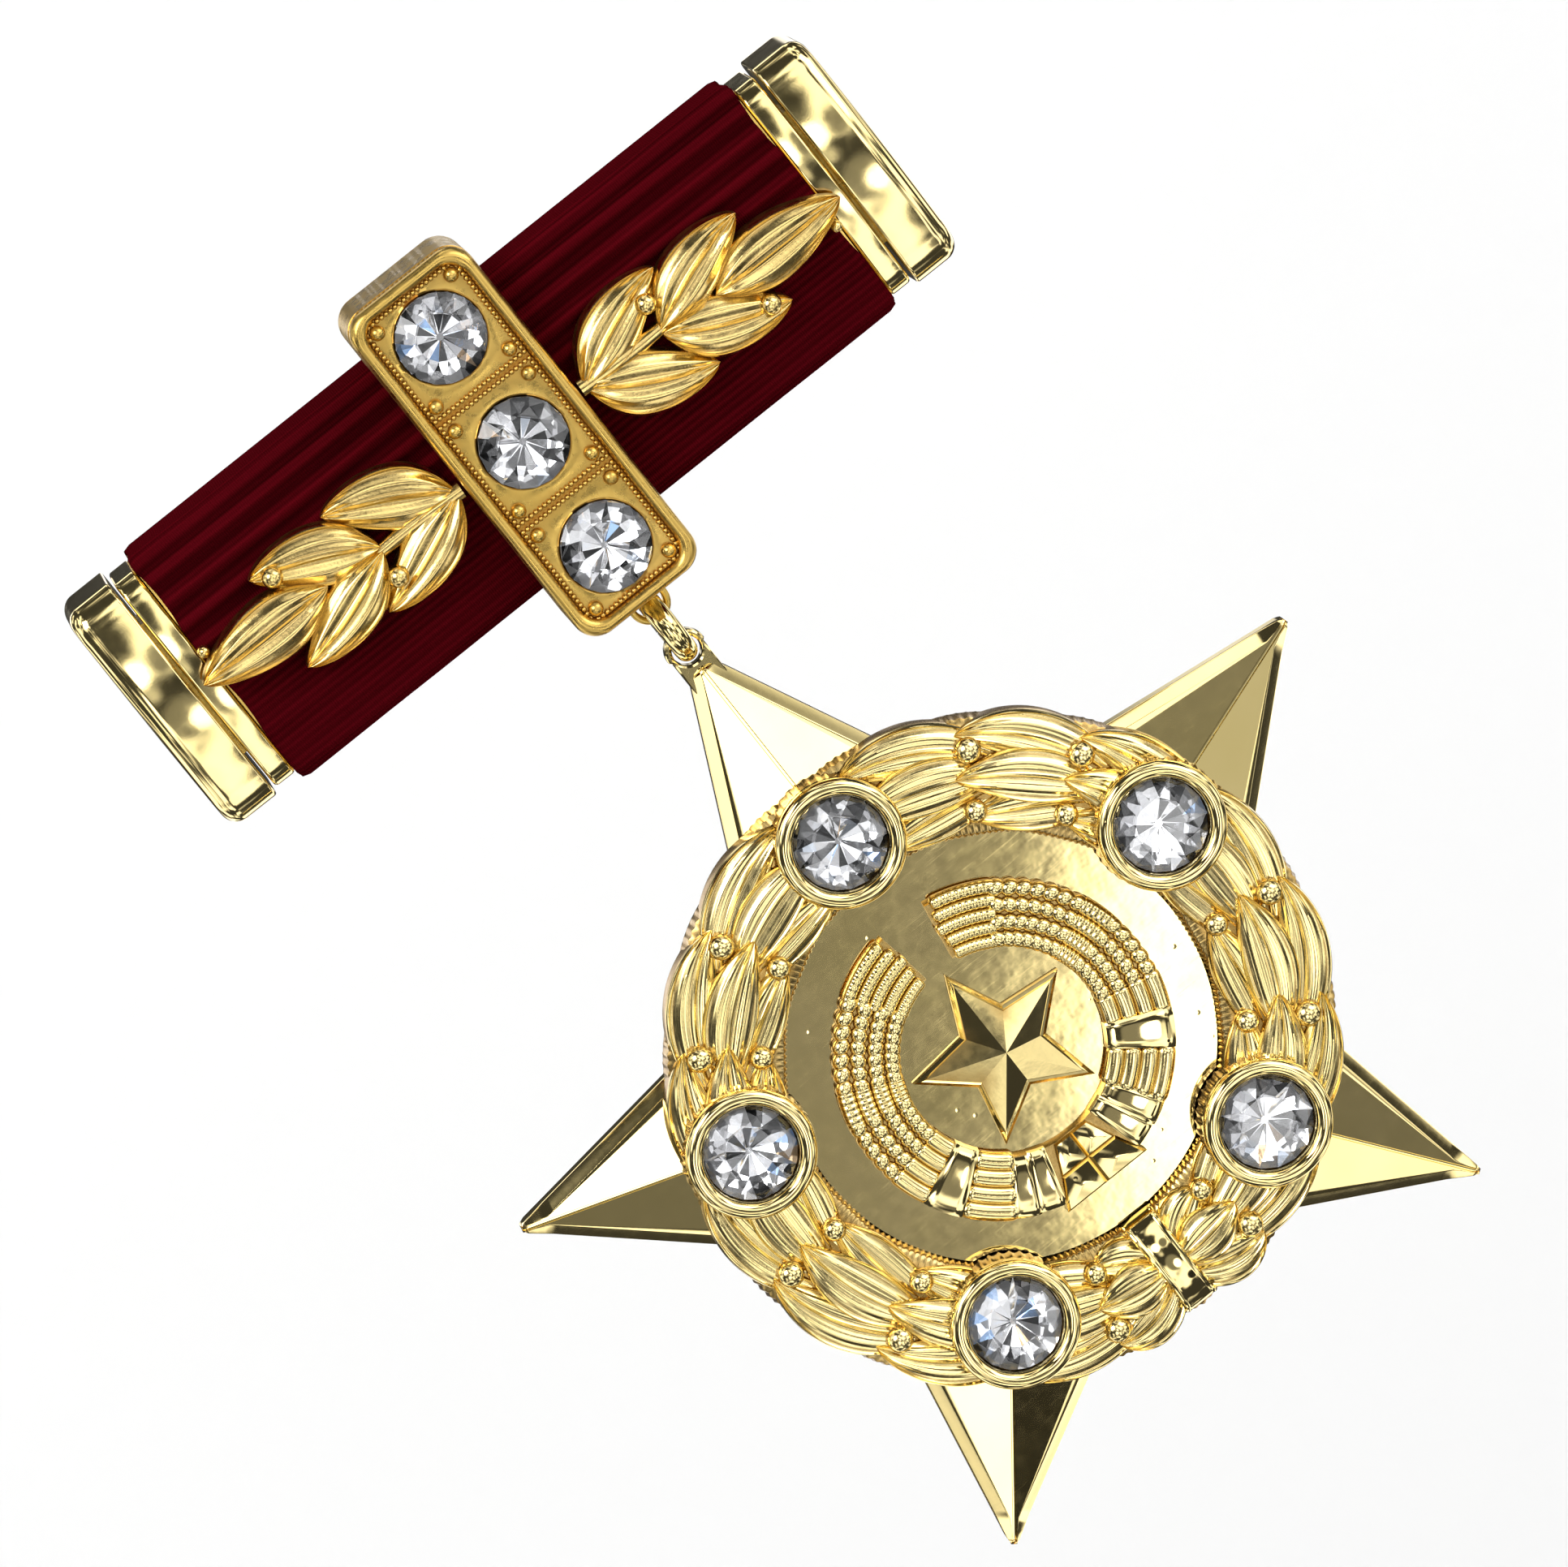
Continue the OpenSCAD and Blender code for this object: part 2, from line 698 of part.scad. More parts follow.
module wreath_berries() {
    color(gold) on_star() translate([0, 0, leaf_base]) difference() {
        berry_places() {
            cylinder(r = berry_r, h = leaf_t - 0.2);
            translate([0, 0, leaf_t - 0.2]) sphere(berry_r);
        }
        translate([0, 0, -5]) linear_extrude(10) wreath_keep_out();
        translate([0, 0, -5]) cylinder(r = 2 * wreath_out_r, h = 5);
    }
}

module field_disc() {
    color(bright_gold) on_star() translate([0, 0, seat_h]) difference() {
        cylinder(r = field_r, h = field_t, $fn = 96);
        translate([0, 0, -1]) linear_extrude(field_t + 2) bezel_clearance();
    }
}

// A slice of a flat ring between two angles up from the foot
module ring_slice(side, from, to, r_in, r_out) {
    reach = 2 * r_out;
    intersection() {
        difference() {
            circle(r_out, $fn = 96);
            circle(r_in, $fn = 96);
        }
        polygon(concat([[0, 0]], [for (k = [0 : 4])
            let (a = -90 + side * (from + (to - from) * k / 4)) [reach * cos(a), reach * sin(a)]]));
    }
}

// Two branches of grain ears, open at the top
module grain_wreath() {
    w = (ears_out_r - ears_in_r) / 3;
    mid = (ears_out_r + ears_in_r) / 2;
    step = (ears_to - 6 - band_to) / kernel_rows;
    color(bright_gold) on_star() translate([0, 0, field_top]) {
        linear_extrude(ears_t * 0.45) for (side = [-1, 1]) {
            ring_slice(side, ears_from, band_from - 0.5, ears_in_r + 0.2, ears_out_r - 0.2);
            ring_slice(side, band_to + 0.5, ears_to, ears_in_r + 0.2, ears_out_r - 0.2);
        }
        translate([0, 0, ears_t * 0.45]) linear_extrude(ears_t * 0.55) intersection() {
            union() {
                for (side = [-1, 1], j = [0 : kernel_rows - 1], k = [-1 : 1])
                    up_side(side, band_to + 4 + (j + (k == 0 ? 0.5 : 0)) * step, mid + k * w)
                        rotate(side * (90 - k * 16)) leaf_outline(1.5, w * 0.9);
                for (side = [-1, 1], j = [0 : 3], k = [-1 : 1])
                    up_side(side, ears_from + 6 + (j + (k == 0 ? 0.5 : 0)) * 7.5, mid + k * w)
                        rotate(side * (90 - k * 16)) leaf_outline(1.4, w * 0.9);
            }
            for (side = [-1, 1]) {
                ring_slice(side, ears_from, band_from - 0.5, ears_in_r, ears_out_r);
                ring_slice(side, band_to + 0.5, ears_to, ears_in_r, ears_out_r);
            }
        }
    }
}

// Plain bands wrapped round the grain and the knot at its foot
module grain_bands() {
    color(bright_gold) on_star() translate([0, 0, field_top]) linear_extrude(ears_t) {
        for (side = [-1, 1]) ring_slice(side, band_from, band_to, ears_in_r, ears_out_r);
        for (side = [-1, 1]) ring_slice(side, 0, foot_half, ears_in_r, ears_out_r - 0.3);
    }
}

// A plain five-pointed device in relief
module centre_device() {
    n = 10;
    r_in = device_r * 0.45;
    corners = [for (i = [0 : n - 1]) let (r = i % 2 == 0 ? device_r : r_in, a = 90 + 36 * i)
        [r * cos(a), r * sin(a)]];
    points = concat(
        [for (c = corners) [c[0], c[1], 0]],
        [for (c = corners) [c[0], c[1], device_t * 0.4]],
        [[0, 0, device_t], [0, 0, 0]]
    );
    faces = concat(
        [for (i = [0 : n - 1]) [i, (i + 1) % n, 2 * n + 1]],
        [for (i = [0 : n - 1]) [i, n + i, n + (i + 1) % n, (i + 1) % n]],
        [for (i = [0 : n - 1]) [n + i, 2 * n, n + (i + 1) % n]]
    );
    color(bright_gold) on_star() translate([0, 0, field_top]) polyhedron(points, faces);
}

module bezel_cup(i) {
    ledge = bezel_h - 0.7;
    color(bright_gold) on_star() at_bezel(i) translate([0, 0, seat_h]) difference() {
        union() {
            cylinder(r = bezel_r, h = bezel_h - bezel_wall / 2);
            translate([0, 0, bezel_h - bezel_wall / 2]) rotate_extrude() union() {
                translate([bezel_r - bezel_wall / 2, 0]) circle(bezel_wall / 2);
                translate([0, -bezel_wall / 2]) square([bezel_r - bezel_wall / 2, bezel_wall / 2]);
            }
        }
        translate([0, 0, ledge]) cylinder(r = stone_r + seat_gap, h = 3);
        translate([0, 0, 0.45]) cylinder(r = stone_r - 0.3, h = 5);
    }
}

module star_stone(i) {
    color(crystal) on_star() at_bezel(i) translate([0, 0, seat_h + bezel_h - 0.7 + 0.15])
        stone(stone_r, 0.5, 1.35, 0.13);
}

back_plate();
bar_core();
ribbon();
end_collar(-1);  // end_collar_left
end_collar(1);  // end_collar_right
end_cap(-1);  // end_cap_left
end_cap(1);  // end_cap_right
clasp_box();
clasp_stone(1);  // clasp_stone_top
clasp_stone(0);  // clasp_stone_middle
clasp_stone(-1);  // clasp_stone_bottom
clasp_beads();
spray(-1);  // spray_left
spray(1);  // spray_right
spray_berries();
fixing_posts();
hinge_bracket();
hinge_rivet();
brooch_pin();
catch_housing();
catch_rotor();
jump_ring();
star_plate();
laurel_wreath();
wreath_tie();
wreath_berries();
field_disc();
grain_wreath();
grain_bands();
centre_device();
bezel_cup(0);  // bezel_cup_1
bezel_cup(1);  // bezel_cup_2
bezel_cup(2);  // bezel_cup_3
bezel_cup(3);  // bezel_cup_4
bezel_cup(4);  // bezel_cup_5
star_stone(0);  // star_stone_1
star_stone(1);  // star_stone_2
star_stone(2);  // star_stone_3
star_stone(3);  // star_stone_4
star_stone(4);  // star_stone_5
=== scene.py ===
"""A military service medal: a jewelled gold star hung from a ribbon-covered brooch bar.

Every operator builds one piece, or one group of like pieces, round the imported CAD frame.
Lengths inside the operators are in millimetres and turn into metres when a mesh is made.
"""

import math

import bmesh
import bpy
import numpy as np
from mathutils import Matrix, Vector


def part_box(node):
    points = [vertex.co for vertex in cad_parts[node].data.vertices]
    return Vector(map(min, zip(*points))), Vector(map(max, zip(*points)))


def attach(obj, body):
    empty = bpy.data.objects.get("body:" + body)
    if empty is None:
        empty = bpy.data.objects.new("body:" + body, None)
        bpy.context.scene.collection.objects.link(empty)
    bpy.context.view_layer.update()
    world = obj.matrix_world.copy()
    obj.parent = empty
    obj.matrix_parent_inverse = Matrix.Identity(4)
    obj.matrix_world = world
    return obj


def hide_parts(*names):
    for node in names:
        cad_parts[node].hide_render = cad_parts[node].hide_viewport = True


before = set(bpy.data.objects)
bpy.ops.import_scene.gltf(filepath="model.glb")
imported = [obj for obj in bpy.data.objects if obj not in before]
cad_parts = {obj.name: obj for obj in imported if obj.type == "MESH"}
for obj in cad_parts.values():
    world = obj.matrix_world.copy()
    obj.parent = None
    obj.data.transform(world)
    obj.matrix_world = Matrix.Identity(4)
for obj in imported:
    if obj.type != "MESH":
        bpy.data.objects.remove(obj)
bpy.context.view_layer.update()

bl_info = {
    "name": "Jewelled Star Medal",
    "version": (1, 0, 0),
    "blender": (4, 5, 0),
    "location": "View3D > Sidebar > Medal",
    "description": "Builds a jewelled star medal with its brooch bar, piece by piece",
    "category": "Add Mesh",
}

MM = 0.001


def box_mm(node):
    """Lowest and highest corner of a CAD node at rest, in millimetres."""
    low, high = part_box(node)
    return np.array(low) / MM, np.array(high) / MM


def reach(node):
    """The highest corner of a CAD node at rest, in millimetres."""
    return box_mm(node)[1]


# Places taken from the CAD frame. On the star a height counts from the back of the star plate,
# and on the bar a depth counts forwards from the axis of the brooch pin.
STAR_BACK = reach("star_plate")[1]
FIELD_LOW, FIELD_HIGH = box_mm("field_disc")
STAR_Z = (FIELD_LOW[2] + FIELD_HIGH[2]) / 2
FIELD_H = STAR_BACK - FIELD_LOW[1]
FIELD_R = (FIELD_HIGH[2] - FIELD_LOW[2]) / 2
STAR_R = reach("star_plate")[0] / math.cos(math.radians(18))

CUP_LOW, CUP_HIGH = box_mm("bezel_cup_1")
BEZEL_R = (CUP_HIGH[0] - CUP_LOW[0]) / 2
BEZEL_TOP = STAR_BACK - CUP_LOW[1]
BEZEL_RING = (CUP_LOW[2] + CUP_HIGH[2]) / 2 - STAR_Z
STONE_R = BEZEL_R - 0.76

WREATH_OUT = reach("laurel_wreath")[0]
WREATH_IN = FIELD_R + 0.05
LEAF_TOP = STAR_BACK - box_mm("laurel_wreath")[0][1]
TIE_HALF = reach("wreath_tie")[0]
EARS_OUT = reach("grain_wreath")[0]
EARS_IN = 4.45
EARS_TOP = STAR_BACK - box_mm("grain_bands")[0][1]

RIBBON_LOW, RIBBON_HIGH = box_mm("ribbon")
BAR_HALF_W, BAR_HALF_H = RIBBON_HIGH[0], RIBBON_HIGH[2]
BAR_BACK, BAR_FRONT = -RIBBON_HIGH[1], -RIBBON_LOW[1]
DOME_RISE = 0.6

CLASP_LOW, CLASP_HIGH = box_mm("clasp_box")
CLASP_HALF_W, CLASP_HALF = CLASP_HIGH[0], CLASP_HIGH[2]
CLASP_FRONT, CLASP_REAR = -CLASP_LOW[1], -CLASP_HIGH[1]
CLASP_STONE_R = reach("clasp_stone_middle")[2]
CLASP_PITCH = reach("clasp_stone_top")[2] - CLASP_STONE_R

RING_LOW, RING_HIGH = box_mm("jump_ring")
RING_WIRE = (RING_HIGH[0] - RING_LOW[0]) / 2
RING_R = (RING_HIGH[2] - RING_LOW[2]) / 2 - RING_WIRE
RING_Z = (RING_HIGH[2] + RING_LOW[2]) / 2
HANG_DEPTH = -(RING_HIGH[1] + RING_LOW[1]) / 2
EYE_R = RING_WIRE + 0.14
LUG_R = 0.94
RING_EYE = RING_Z - RING_R - STAR_Z
STAR_TOP_CUT = RING_EYE - EYE_R - 0.3

SPRAY_START = box_mm("spray_right")[0][0]
SPRAY_SCALE = (reach("spray_right")[0] - SPRAY_START) / 14

# The camera: turn round the medal, height and roll in degrees, then where it looks
CAMERA_TURN = (-1.0, 12.0, -38.4)
CAMERA_TARGET = (-0.27, -7.0, -19.0)
CAMERA_DISTANCE = 0.4
CAMERA_LENS = 216.6
# How bright a card each facet mirrors: arms clockwise from the top, left then right of the ridge
FACET_LIGHT = ((4.2, 3.6), (0.30, 0.75), (0.22, 2.0), (0.03, 3.4), (0.22, 5.0))
# The same for the field: the card over most of it, and the one at its right
FIELD_LIGHT = (0.33, 4.2)
# Slope of the star's facets, across and along an arm
FACET_FALL = (0.18, 0.0855)


# ---------------------------------------------------------------- shapes


def on_star(points):
    """Star-plane points (across, up, height above the star's back) in the medal's frame."""
    p = np.asarray(points, float)
    return np.stack([p[:, 0], STAR_BACK - p[:, 2], STAR_Z + p[:, 1]], 1)


def on_bar(points):
    """Bar points (across, up, distance in front of the pin axis) in the medal's frame."""
    p = np.asarray(points, float)
    return np.stack([p[:, 0], -p[:, 2], p[:, 1]], 1)


def as_is(points):
    """Points that are in the medal's frame already."""
    return np.asarray(points, float)


class Shape:
    """Collects vertices and faces, then becomes one object."""

    def __init__(self):
        self.points, self.faces, self.cavity, self.count = [], [], [], 0

    def add(self, points, faces, cavity=0.0):
        """Adds points and faces; cavity says how deep in a recess each point lies, from 0 to 1, and so how
        much painted shade and amber patina the gold shows there.
        """
        points = np.asarray(points, float)
        start = self.count
        self.points.append(points)
        self.faces += [[start + i for i in f] for f in faces]
        self.cavity.append(np.broadcast_to(np.asarray(cavity, float), (len(points),)))
        self.count += len(points)

    def loft(self, rings, closed=True, start_cap=False, end_cap=False, cavity=None):
        """Skins a list of rings that all have the same number of points."""
        n = len(rings[0])
        faces = []
        for k in range(len(rings) - 1):
            a, b = k * n, (k + 1) * n
            for i in range(n if closed else n - 1):
                j = (i + 1) % n
                faces.append([a + i, a + j, b + j, b + i])
        if start_cap:
            faces.append(list(range(n))[::-1])
        if end_cap:
            faces.append([(len(rings) - 1) * n + i for i in range(n)])
        if cavity is None:
            shade = 0.0
        else:
            shade = np.concatenate([np.full(n, c) for c in cavity])
        self.add(np.concatenate([np.asarray(r, float) for r in rings]), faces, shade)

    def make(self, name, finish, place, sharp, heal=True):
        """One object in metres; its edges are sharp where faces turn by more than an angle."""
        mesh = bpy.data.meshes.new(name)
        points = place(np.concatenate(self.points)) * MM
        mesh.from_pydata([tuple(p) for p in points], [], self.faces)
        shade = mesh.attributes.new("cavity", "FLOAT", "POINT")
        shade.data.foreach_set("value", np.concatenate(self.cavity).astype(np.float32))
        mesh.materials.append(finish)
        if heal:
            work = bmesh.new()
            work.from_mesh(mesh)
            bmesh.ops.remove_doubles(work, verts=work.verts, dist=2e-7)
            bmesh.ops.recalc_face_normals(work, faces=work.faces)
            work.to_mesh(mesh)
            work.free()
        mesh.polygons.foreach_set("use_smooth", [True] * len(mesh.polygons))
        if sharp:
            mesh.set_sharp_from_angle(angle=math.radians(sharp))
        piece = bpy.data.objects.new(name, mesh)
        bpy.context.scene.collection.objects.link(piece)
        return piece


def circle(r, n, x=0.0, y=0.0, phase=0.0):
    """A flat ring of points, anticlockwise."""
    a = phase + np.arange(n) * 2 * math.pi / n
    return np.stack([x + r * np.cos(a), y + r * np.sin(a)], 1)


def lift(flat, height):
    """Adds a height, one number or one per point, to flat points."""
    flat = np.asarray(flat, float)
    return np.column_stack([flat, np.broadcast_to(height, (len(flat),))])


def blob(shape, x, y, h, r, squash=1.0, long=1.0, turn=0.0, n=12, sink=0.25, edge=0.0):
    """A bead or kernel: a dome that stands on a small skirt, with painted shade round its foot as dark as
    edge says.
    """
    c, s = math.cos(turn), math.sin(turn)
    rings, shade = [], []
    # Painted shade: the skirt takes the darkness edge, and it fades up the dome to nothing at the top.
    for k in range(6):
        a = math.pi / 2 * k / 5
        ring = circle(max(r * math.cos(a), 0.02 * r), n)
        ring[:, 0] *= long
        ring = np.stack([x + c * ring[:, 0] - s * ring[:, 1], y + s * ring[:, 0] + c * ring[:, 1]], 1)
        if k == 0:
            rings.append(lift(ring, h - sink))
            shade.append(edge)
        rings.append(lift(ring, h + r * squash * math.sin(a)))
        shade.append(edge * (1 - k / 5) ** 2)
    shape.loft(rings, start_cap=True, end_cap=True, cavity=shade)


def direction(path):
    """Unit steps along a path."""
    along = np.gradient(np.asarray(path, float), axis=0)
    return along / np.linalg.norm(along, axis=1)[:, None]


def leftward(along):
    """Flat directions turned a quarter to the left."""
    return np.stack([-along[:, 1], along[:, 0]], 1)


LEAF_S = np.unique(np.concatenate([np.linspace(-0.94, 0.94, 37), [-1, -0.985, -0.965, 0.965, 0.985, 1]]))


def leaf(shape, axis, half, height, base, relief=1.0, foot=0.0, lines=0.022):
    """One struck leaf on a curved axis: raised rim, midrib and two swelling, lined lobes."""
    axis = np.asarray(axis, float)
    steps = len(axis)
    t = np.linspace(0, 1, steps)
    side = leftward(direction(axis))
    widest, lobe_at, rim_at = 0.42, 0.45, 0.89
    rise = foot + (1 - foot) * np.sin(np.pi / 2 * np.minimum(t / widest, 1)) ** 0.8
    fall = np.cos(np.pi / 2 * np.clip((t - widest) / (1 - widest), 0, 1)) ** 0.72
    wide = half * np.where(t < widest, rise, fall) + 0.015
    s = np.abs(LEAF_S)

    def ridge(at, spread):
        """A smooth raised line along the leaf."""
        return np.exp(-(((s - at) / spread) ** 2))

    profile = 0.17 * (1 - s**2) + 0.13 * ridge(rim_at, 0.06) + 0.12 * ridge(lobe_at, 0.2)
    profile = profile + lines * np.cos(s * 26) * ridge(lobe_at, 0.25) + 0.13 * ridge(0, 0.065)
    profile = relief * profile - 0.30 * np.clip((s - 0.945) / 0.055, 0, 1) ** 1.5
    ends = 0.35 + 0.65 * np.clip((1 - t) * 7, 0, 1) ** 0.6
    ends = ends * (1 if foot else np.clip(t * 7, 0.1, 1) ** 0.6)
    high = np.broadcast_to(height, (steps,))
    # Painted shade: dark along the valleys beside the lobes and the midrib, at the leaf's edge and on its
    # skirt.
    dark = 0.8 * ridge(0.74, 0.06) + 0.6 * ridge(0.15, 0.05) + np.clip((s - 0.95) / 0.04, 0, 1)
    rings, shades = [], []
    for i in range(steps):
        line = axis[i] + side[i] * (LEAF_S * wide[i])[:, None]
        top = high[i] + profile * ends[i]
        rings.append(np.concatenate([
            lift(line[:1], base), lift(line, top), lift(line[-1:], base)]))
        shades.append(np.concatenate([[1], dark, [1]]))
    strip(shape, rings, shades)


def strip(shape, rings, shades):
    """Skins open rings from end to end, then closes the underside and both ends."""
    n, steps = len(rings[0]), len(rings)
    faces = [[k * n + i, k * n + i + 1, (k + 1) * n + i + 1, (k + 1) * n + i]
             for k in range(steps - 1) for i in range(n - 1)]
    faces += [[k * n, (k + 1) * n, (k + 2) * n - 1, (k + 1) * n - 1] for k in range(steps - 1)]
    faces += [list(range(n)), [(steps - 1) * n + i for i in range(n)][::-1]]
    shape.add(np.concatenate(rings), faces, np.concatenate(shades))


def tube(shape, path, radius, n, cavity):
    """A round wire along a path, closed at both ends."""
    along = direction(path)
    a = np.arange(n) * 2 * math.pi / n
    rings = []
    for p, d, r in zip(path, along, radius):
        side = np.cross(d, (0, 0, 1.0))
        side /= max(np.linalg.norm(side), 1e-9)
        lifted = np.cross(side, d)
        rings.append(p + r * (np.cos(a)[:, None] * side + np.sin(a)[:, None] * lifted))
    shape.loft(rings, start_cap=True, end_cap=True, cavity=[cavity] * len(path))


def inset(outline, distance):
    """A polygon whose sides all move inwards by one distance; it runs anticlockwise."""
    p = np.asarray(outline, float)
    ahead = np.roll(p, -1, 0) - p
    ahead /= np.linalg.norm(ahead, axis=1)[:, None]
    normal = leftward(ahead)
    before = np.roll(normal, 1, 0)
    total = before + normal
    return p + total * (distance / (1 + (before * normal).sum(1)))[:, None]


def bar_section(count, inward=0.0, gap=0.0):
    """The bar's section from one back tail to the other: (forward, up) points and normals."""
    half, front, r, rise = BAR_HALF_H, BAR_FRONT - DOME_RISE, 1.2, DOME_RISE
    flat = half - r
    dome = (flat**2 + rise**2) / (2 * rise)
    tilt = math.asin(flat / dome)
    small = 0.3
    path = [(BAR_BACK, -gap)]
    for a in np.linspace(math.pi, 1.5 * math.pi, 9):
        path.append((BAR_BACK + small + small * math.cos(a), -half + small + small * math.sin(a)))
    for a in np.linspace(-math.pi / 2, -tilt, 20):
        path.append((front - r + r * math.cos(a), -flat + r * math.sin(a)))
    for a in np.linspace(-tilt, 0, 40)[1:]:
        path.append((front + rise - dome + dome * math.cos(a), dome * math.sin(a)))
    path = np.array(path)
    path = np.concatenate([path, (path * [1, -1])[-2::-1]])
    step = np.linalg.norm(np.diff(path, axis=0), axis=1)
    run = np.concatenate([[0], np.cumsum(step)])
    at = np.linspace(0, run[-1], count)
    line = np.stack([np.interp(at, run, path[:, 0]), np.interp(at, run, path[:, 1])], 1)
    normal = -leftward(direction(line))
    return line - normal * np.reshape(inward, (-1, 1)), normal, at


# ------------------------------------------------------------- materials


class Graph:
    """A short way to write the nodes of a material or a world."""

    def __init__(self, owner):
        self.owner = owner
        owner.use_nodes = True
        self.tree = owner.node_tree
        self.tree.nodes.clear()

    def node(self, kind, inputs=None, **settings):
        """One node; an input is a value or another node's output."""
        made = self.tree.nodes.new("ShaderNode" + kind)
        for key, value in settings.items():
            setattr(made, key, value)
        for key, value in (inputs or {}).items():
            socket = made.inputs[key]
            if isinstance(value, bpy.types.NodeSocket):
                self.tree.links.new(value, socket)
            else:
                socket.default_value = value
        return made

    def math(self, operation, a, b=0.0, c=0.0):
        """One step of arithmetic."""
        return self.node("Math", {0: a, 1: b, 2: c}, operation=operation).outputs[0]

    def remap(self, value, low, high, to_low, to_high, curve="LINEAR"):
        """Carries one range of values to another, and holds it there."""
        made = self.node("MapRange", {"Value": value, "From Min": low, "From Max": high,
                                      "To Min": to_low, "To Max": to_high}, interpolation_type=curve)
        return made.outputs["Result"]

    def mix(self, share, a, b):
        """A share of colour b over colour a."""
        made = self.node("Mix", data_type="RGBA")
        for index, value in ((0, share), (6, a), (7, b)):
            if isinstance(value, bpy.types.NodeSocket):
                self.tree.links.new(value, made.inputs[index])
            else:
                made.inputs[index].default_value = value
        return made.outputs[2]

    def millimetres(self, stretch=(1, 1, 1)):
        """Object coordinates, counted in millimetres."""
        place = self.node("TexCoord").outputs["Object"]
        scale = [1000 * s for s in stretch]
        return self.node("Mapping", {"Vector": place, "Scale": scale}).outputs[0]

    def noise(self, vector, scale, detail=2.0, rough=0.5):
        """Cloudy values about 0.5."""
        return self.node("TexNoise", {"Vector": vector, "Scale": scale, "Detail": detail,
                                      "Roughness": rough}).outputs["Fac"]

    def bump(self, height, depth, normal=None):
        """A surface direction that shows a height, at a depth in millimetres."""
        inputs = {"Height": height, "Strength": 1.0, "Distance": depth * MM}
        if normal is not None:
            inputs["Normal"] = normal
        return self.node("Bump", inputs).outputs[0]

    def finish(self, **surface):
        """Ends a material in one Principled shader."""
        shader = self.node("BsdfPrincipled", surface)
        self.node("OutputMaterial", {"Surface": shader.outputs[0]})
        return self.owner


def shade(color, factor):
    """A darker or lighter version of a colour."""
    return (color[0] * factor, color[1] * factor, color[2] * factor, 1.0)


def gold(name, color, roughness, peel, peel_depth, grain=0.0, grain_scale=9.0,
         recess=(0.33, 0.185, 0.04), pits=0.0):
    """Gold plate: slow colour drift, handling marks, a faint cast skin, and painted shade with amber patina
    in the recesses.
    """
    g = Graph(bpy.data.materials.new(name))
    mm = g.millimetres()
    drift = g.noise(mm, 0.22, 3)
    cloud = g.noise(mm, 1.7, 4, 0.6)
    base = g.mix(g.remap(drift, 0.3, 0.7, 0, 1), shade(color, 0.96),
                 (min(color[0] * 1.02, 1), color[1] * 1.02, color[2] * 1.12, 1))
    cavity = g.node("Attribute", attribute_name="cavity").outputs["Fac"]
    deep = g.remap(g.math("ADD", cavity, g.remap(cloud, 0.3, 0.7, -0.12, 0.12)), 0.15, 1.0, 0, 1)
    # Painted shade: where the cavity attribute is high, the dark amber recess colour is mixed in. It is
    # shade in the hollows together with the gold's amber patina.
    base = g.mix(g.math("MULTIPLY", deep, 0.92), base, (*recess, 1))
    rough = g.remap(cloud, 0.25, 0.75, roughness * 0.7, roughness * 1.45)
    rough = g.math("ADD", rough, g.math("MULTIPLY", deep, 0.12))
    wipe = g.noise(g.millimetres((0.35, 0.35, 9)), 1.4, 5, 0.7)
    rough = g.math("ADD", rough, g.remap(wipe, 0.55, 0.8, 0, 0.05))
    normal = g.bump(g.noise(mm, peel, 3), peel_depth)
    if pits:
        spots = g.node("TexVoronoi", {"Vector": mm, "Scale": 0.8, "Randomness": 1.0}).outputs["Distance"]
        normal = g.bump(g.remap(spots, 0.0, 0.09, 0, 1), pits, normal)
    if grain:
        normal = g.bump(g.noise(mm, grain_scale, 3, 0.65), grain, normal)
    return g.finish(**{"Base Color": base, "Metallic": 1.0, "Roughness": rough, "Normal": normal})


def steel(name, color):
    """Drawn and plated spring wire, with fine marks along its length."""
    g = Graph(bpy.data.materials.new(name))
    marks = g.noise(g.millimetres((0.6, 9, 9)), 1.5, 4, 0.7)
    cloud = g.noise(g.millimetres(), 1.1, 3)
    base = g.mix(g.remap(cloud, 0.3, 0.7, 0, 1), shade(color, 0.86), shade(color, 1.05))
    rough = g.remap(marks, 0.3, 0.75, 0.16, 0.36)
    return g.finish(**{"Base Color": base, "Metallic": 1.0, "Roughness": rough,
                       "Normal": g.bump(marks, 0.004)})


def crystal(name):
    """Clear cut glass."""
    g = Graph(bpy.data.materials.new(name))
    smear = g.noise(g.millimetres(), 2.2, 3)
    return g.finish(**{"Base Color": (0.98, 0.985, 1.0, 1), "IOR": 1.56,
                       "Transmission Weight": 1.0,
                       "Roughness": g.remap(smear, 0.45, 0.8, 0.0, 0.03)})


def foil(name):
    """Silver foil behind a stone, its colour painted facet by facet with a cut stone's reflections and
    coloured flashes.
    """
    g = Graph(bpy.data.materials.new(name))
    tint = g.node("Attribute", attribute_name="painted_flash").outputs["Color"]
    wear = g.noise(g.millimetres(), 5.0, 3)
    return g.finish(**{"Base Color": tint, "Metallic": 0.8,
                       "Roughness": g.remap(wear, 0.3, 0.8, 0.02, 0.10)})


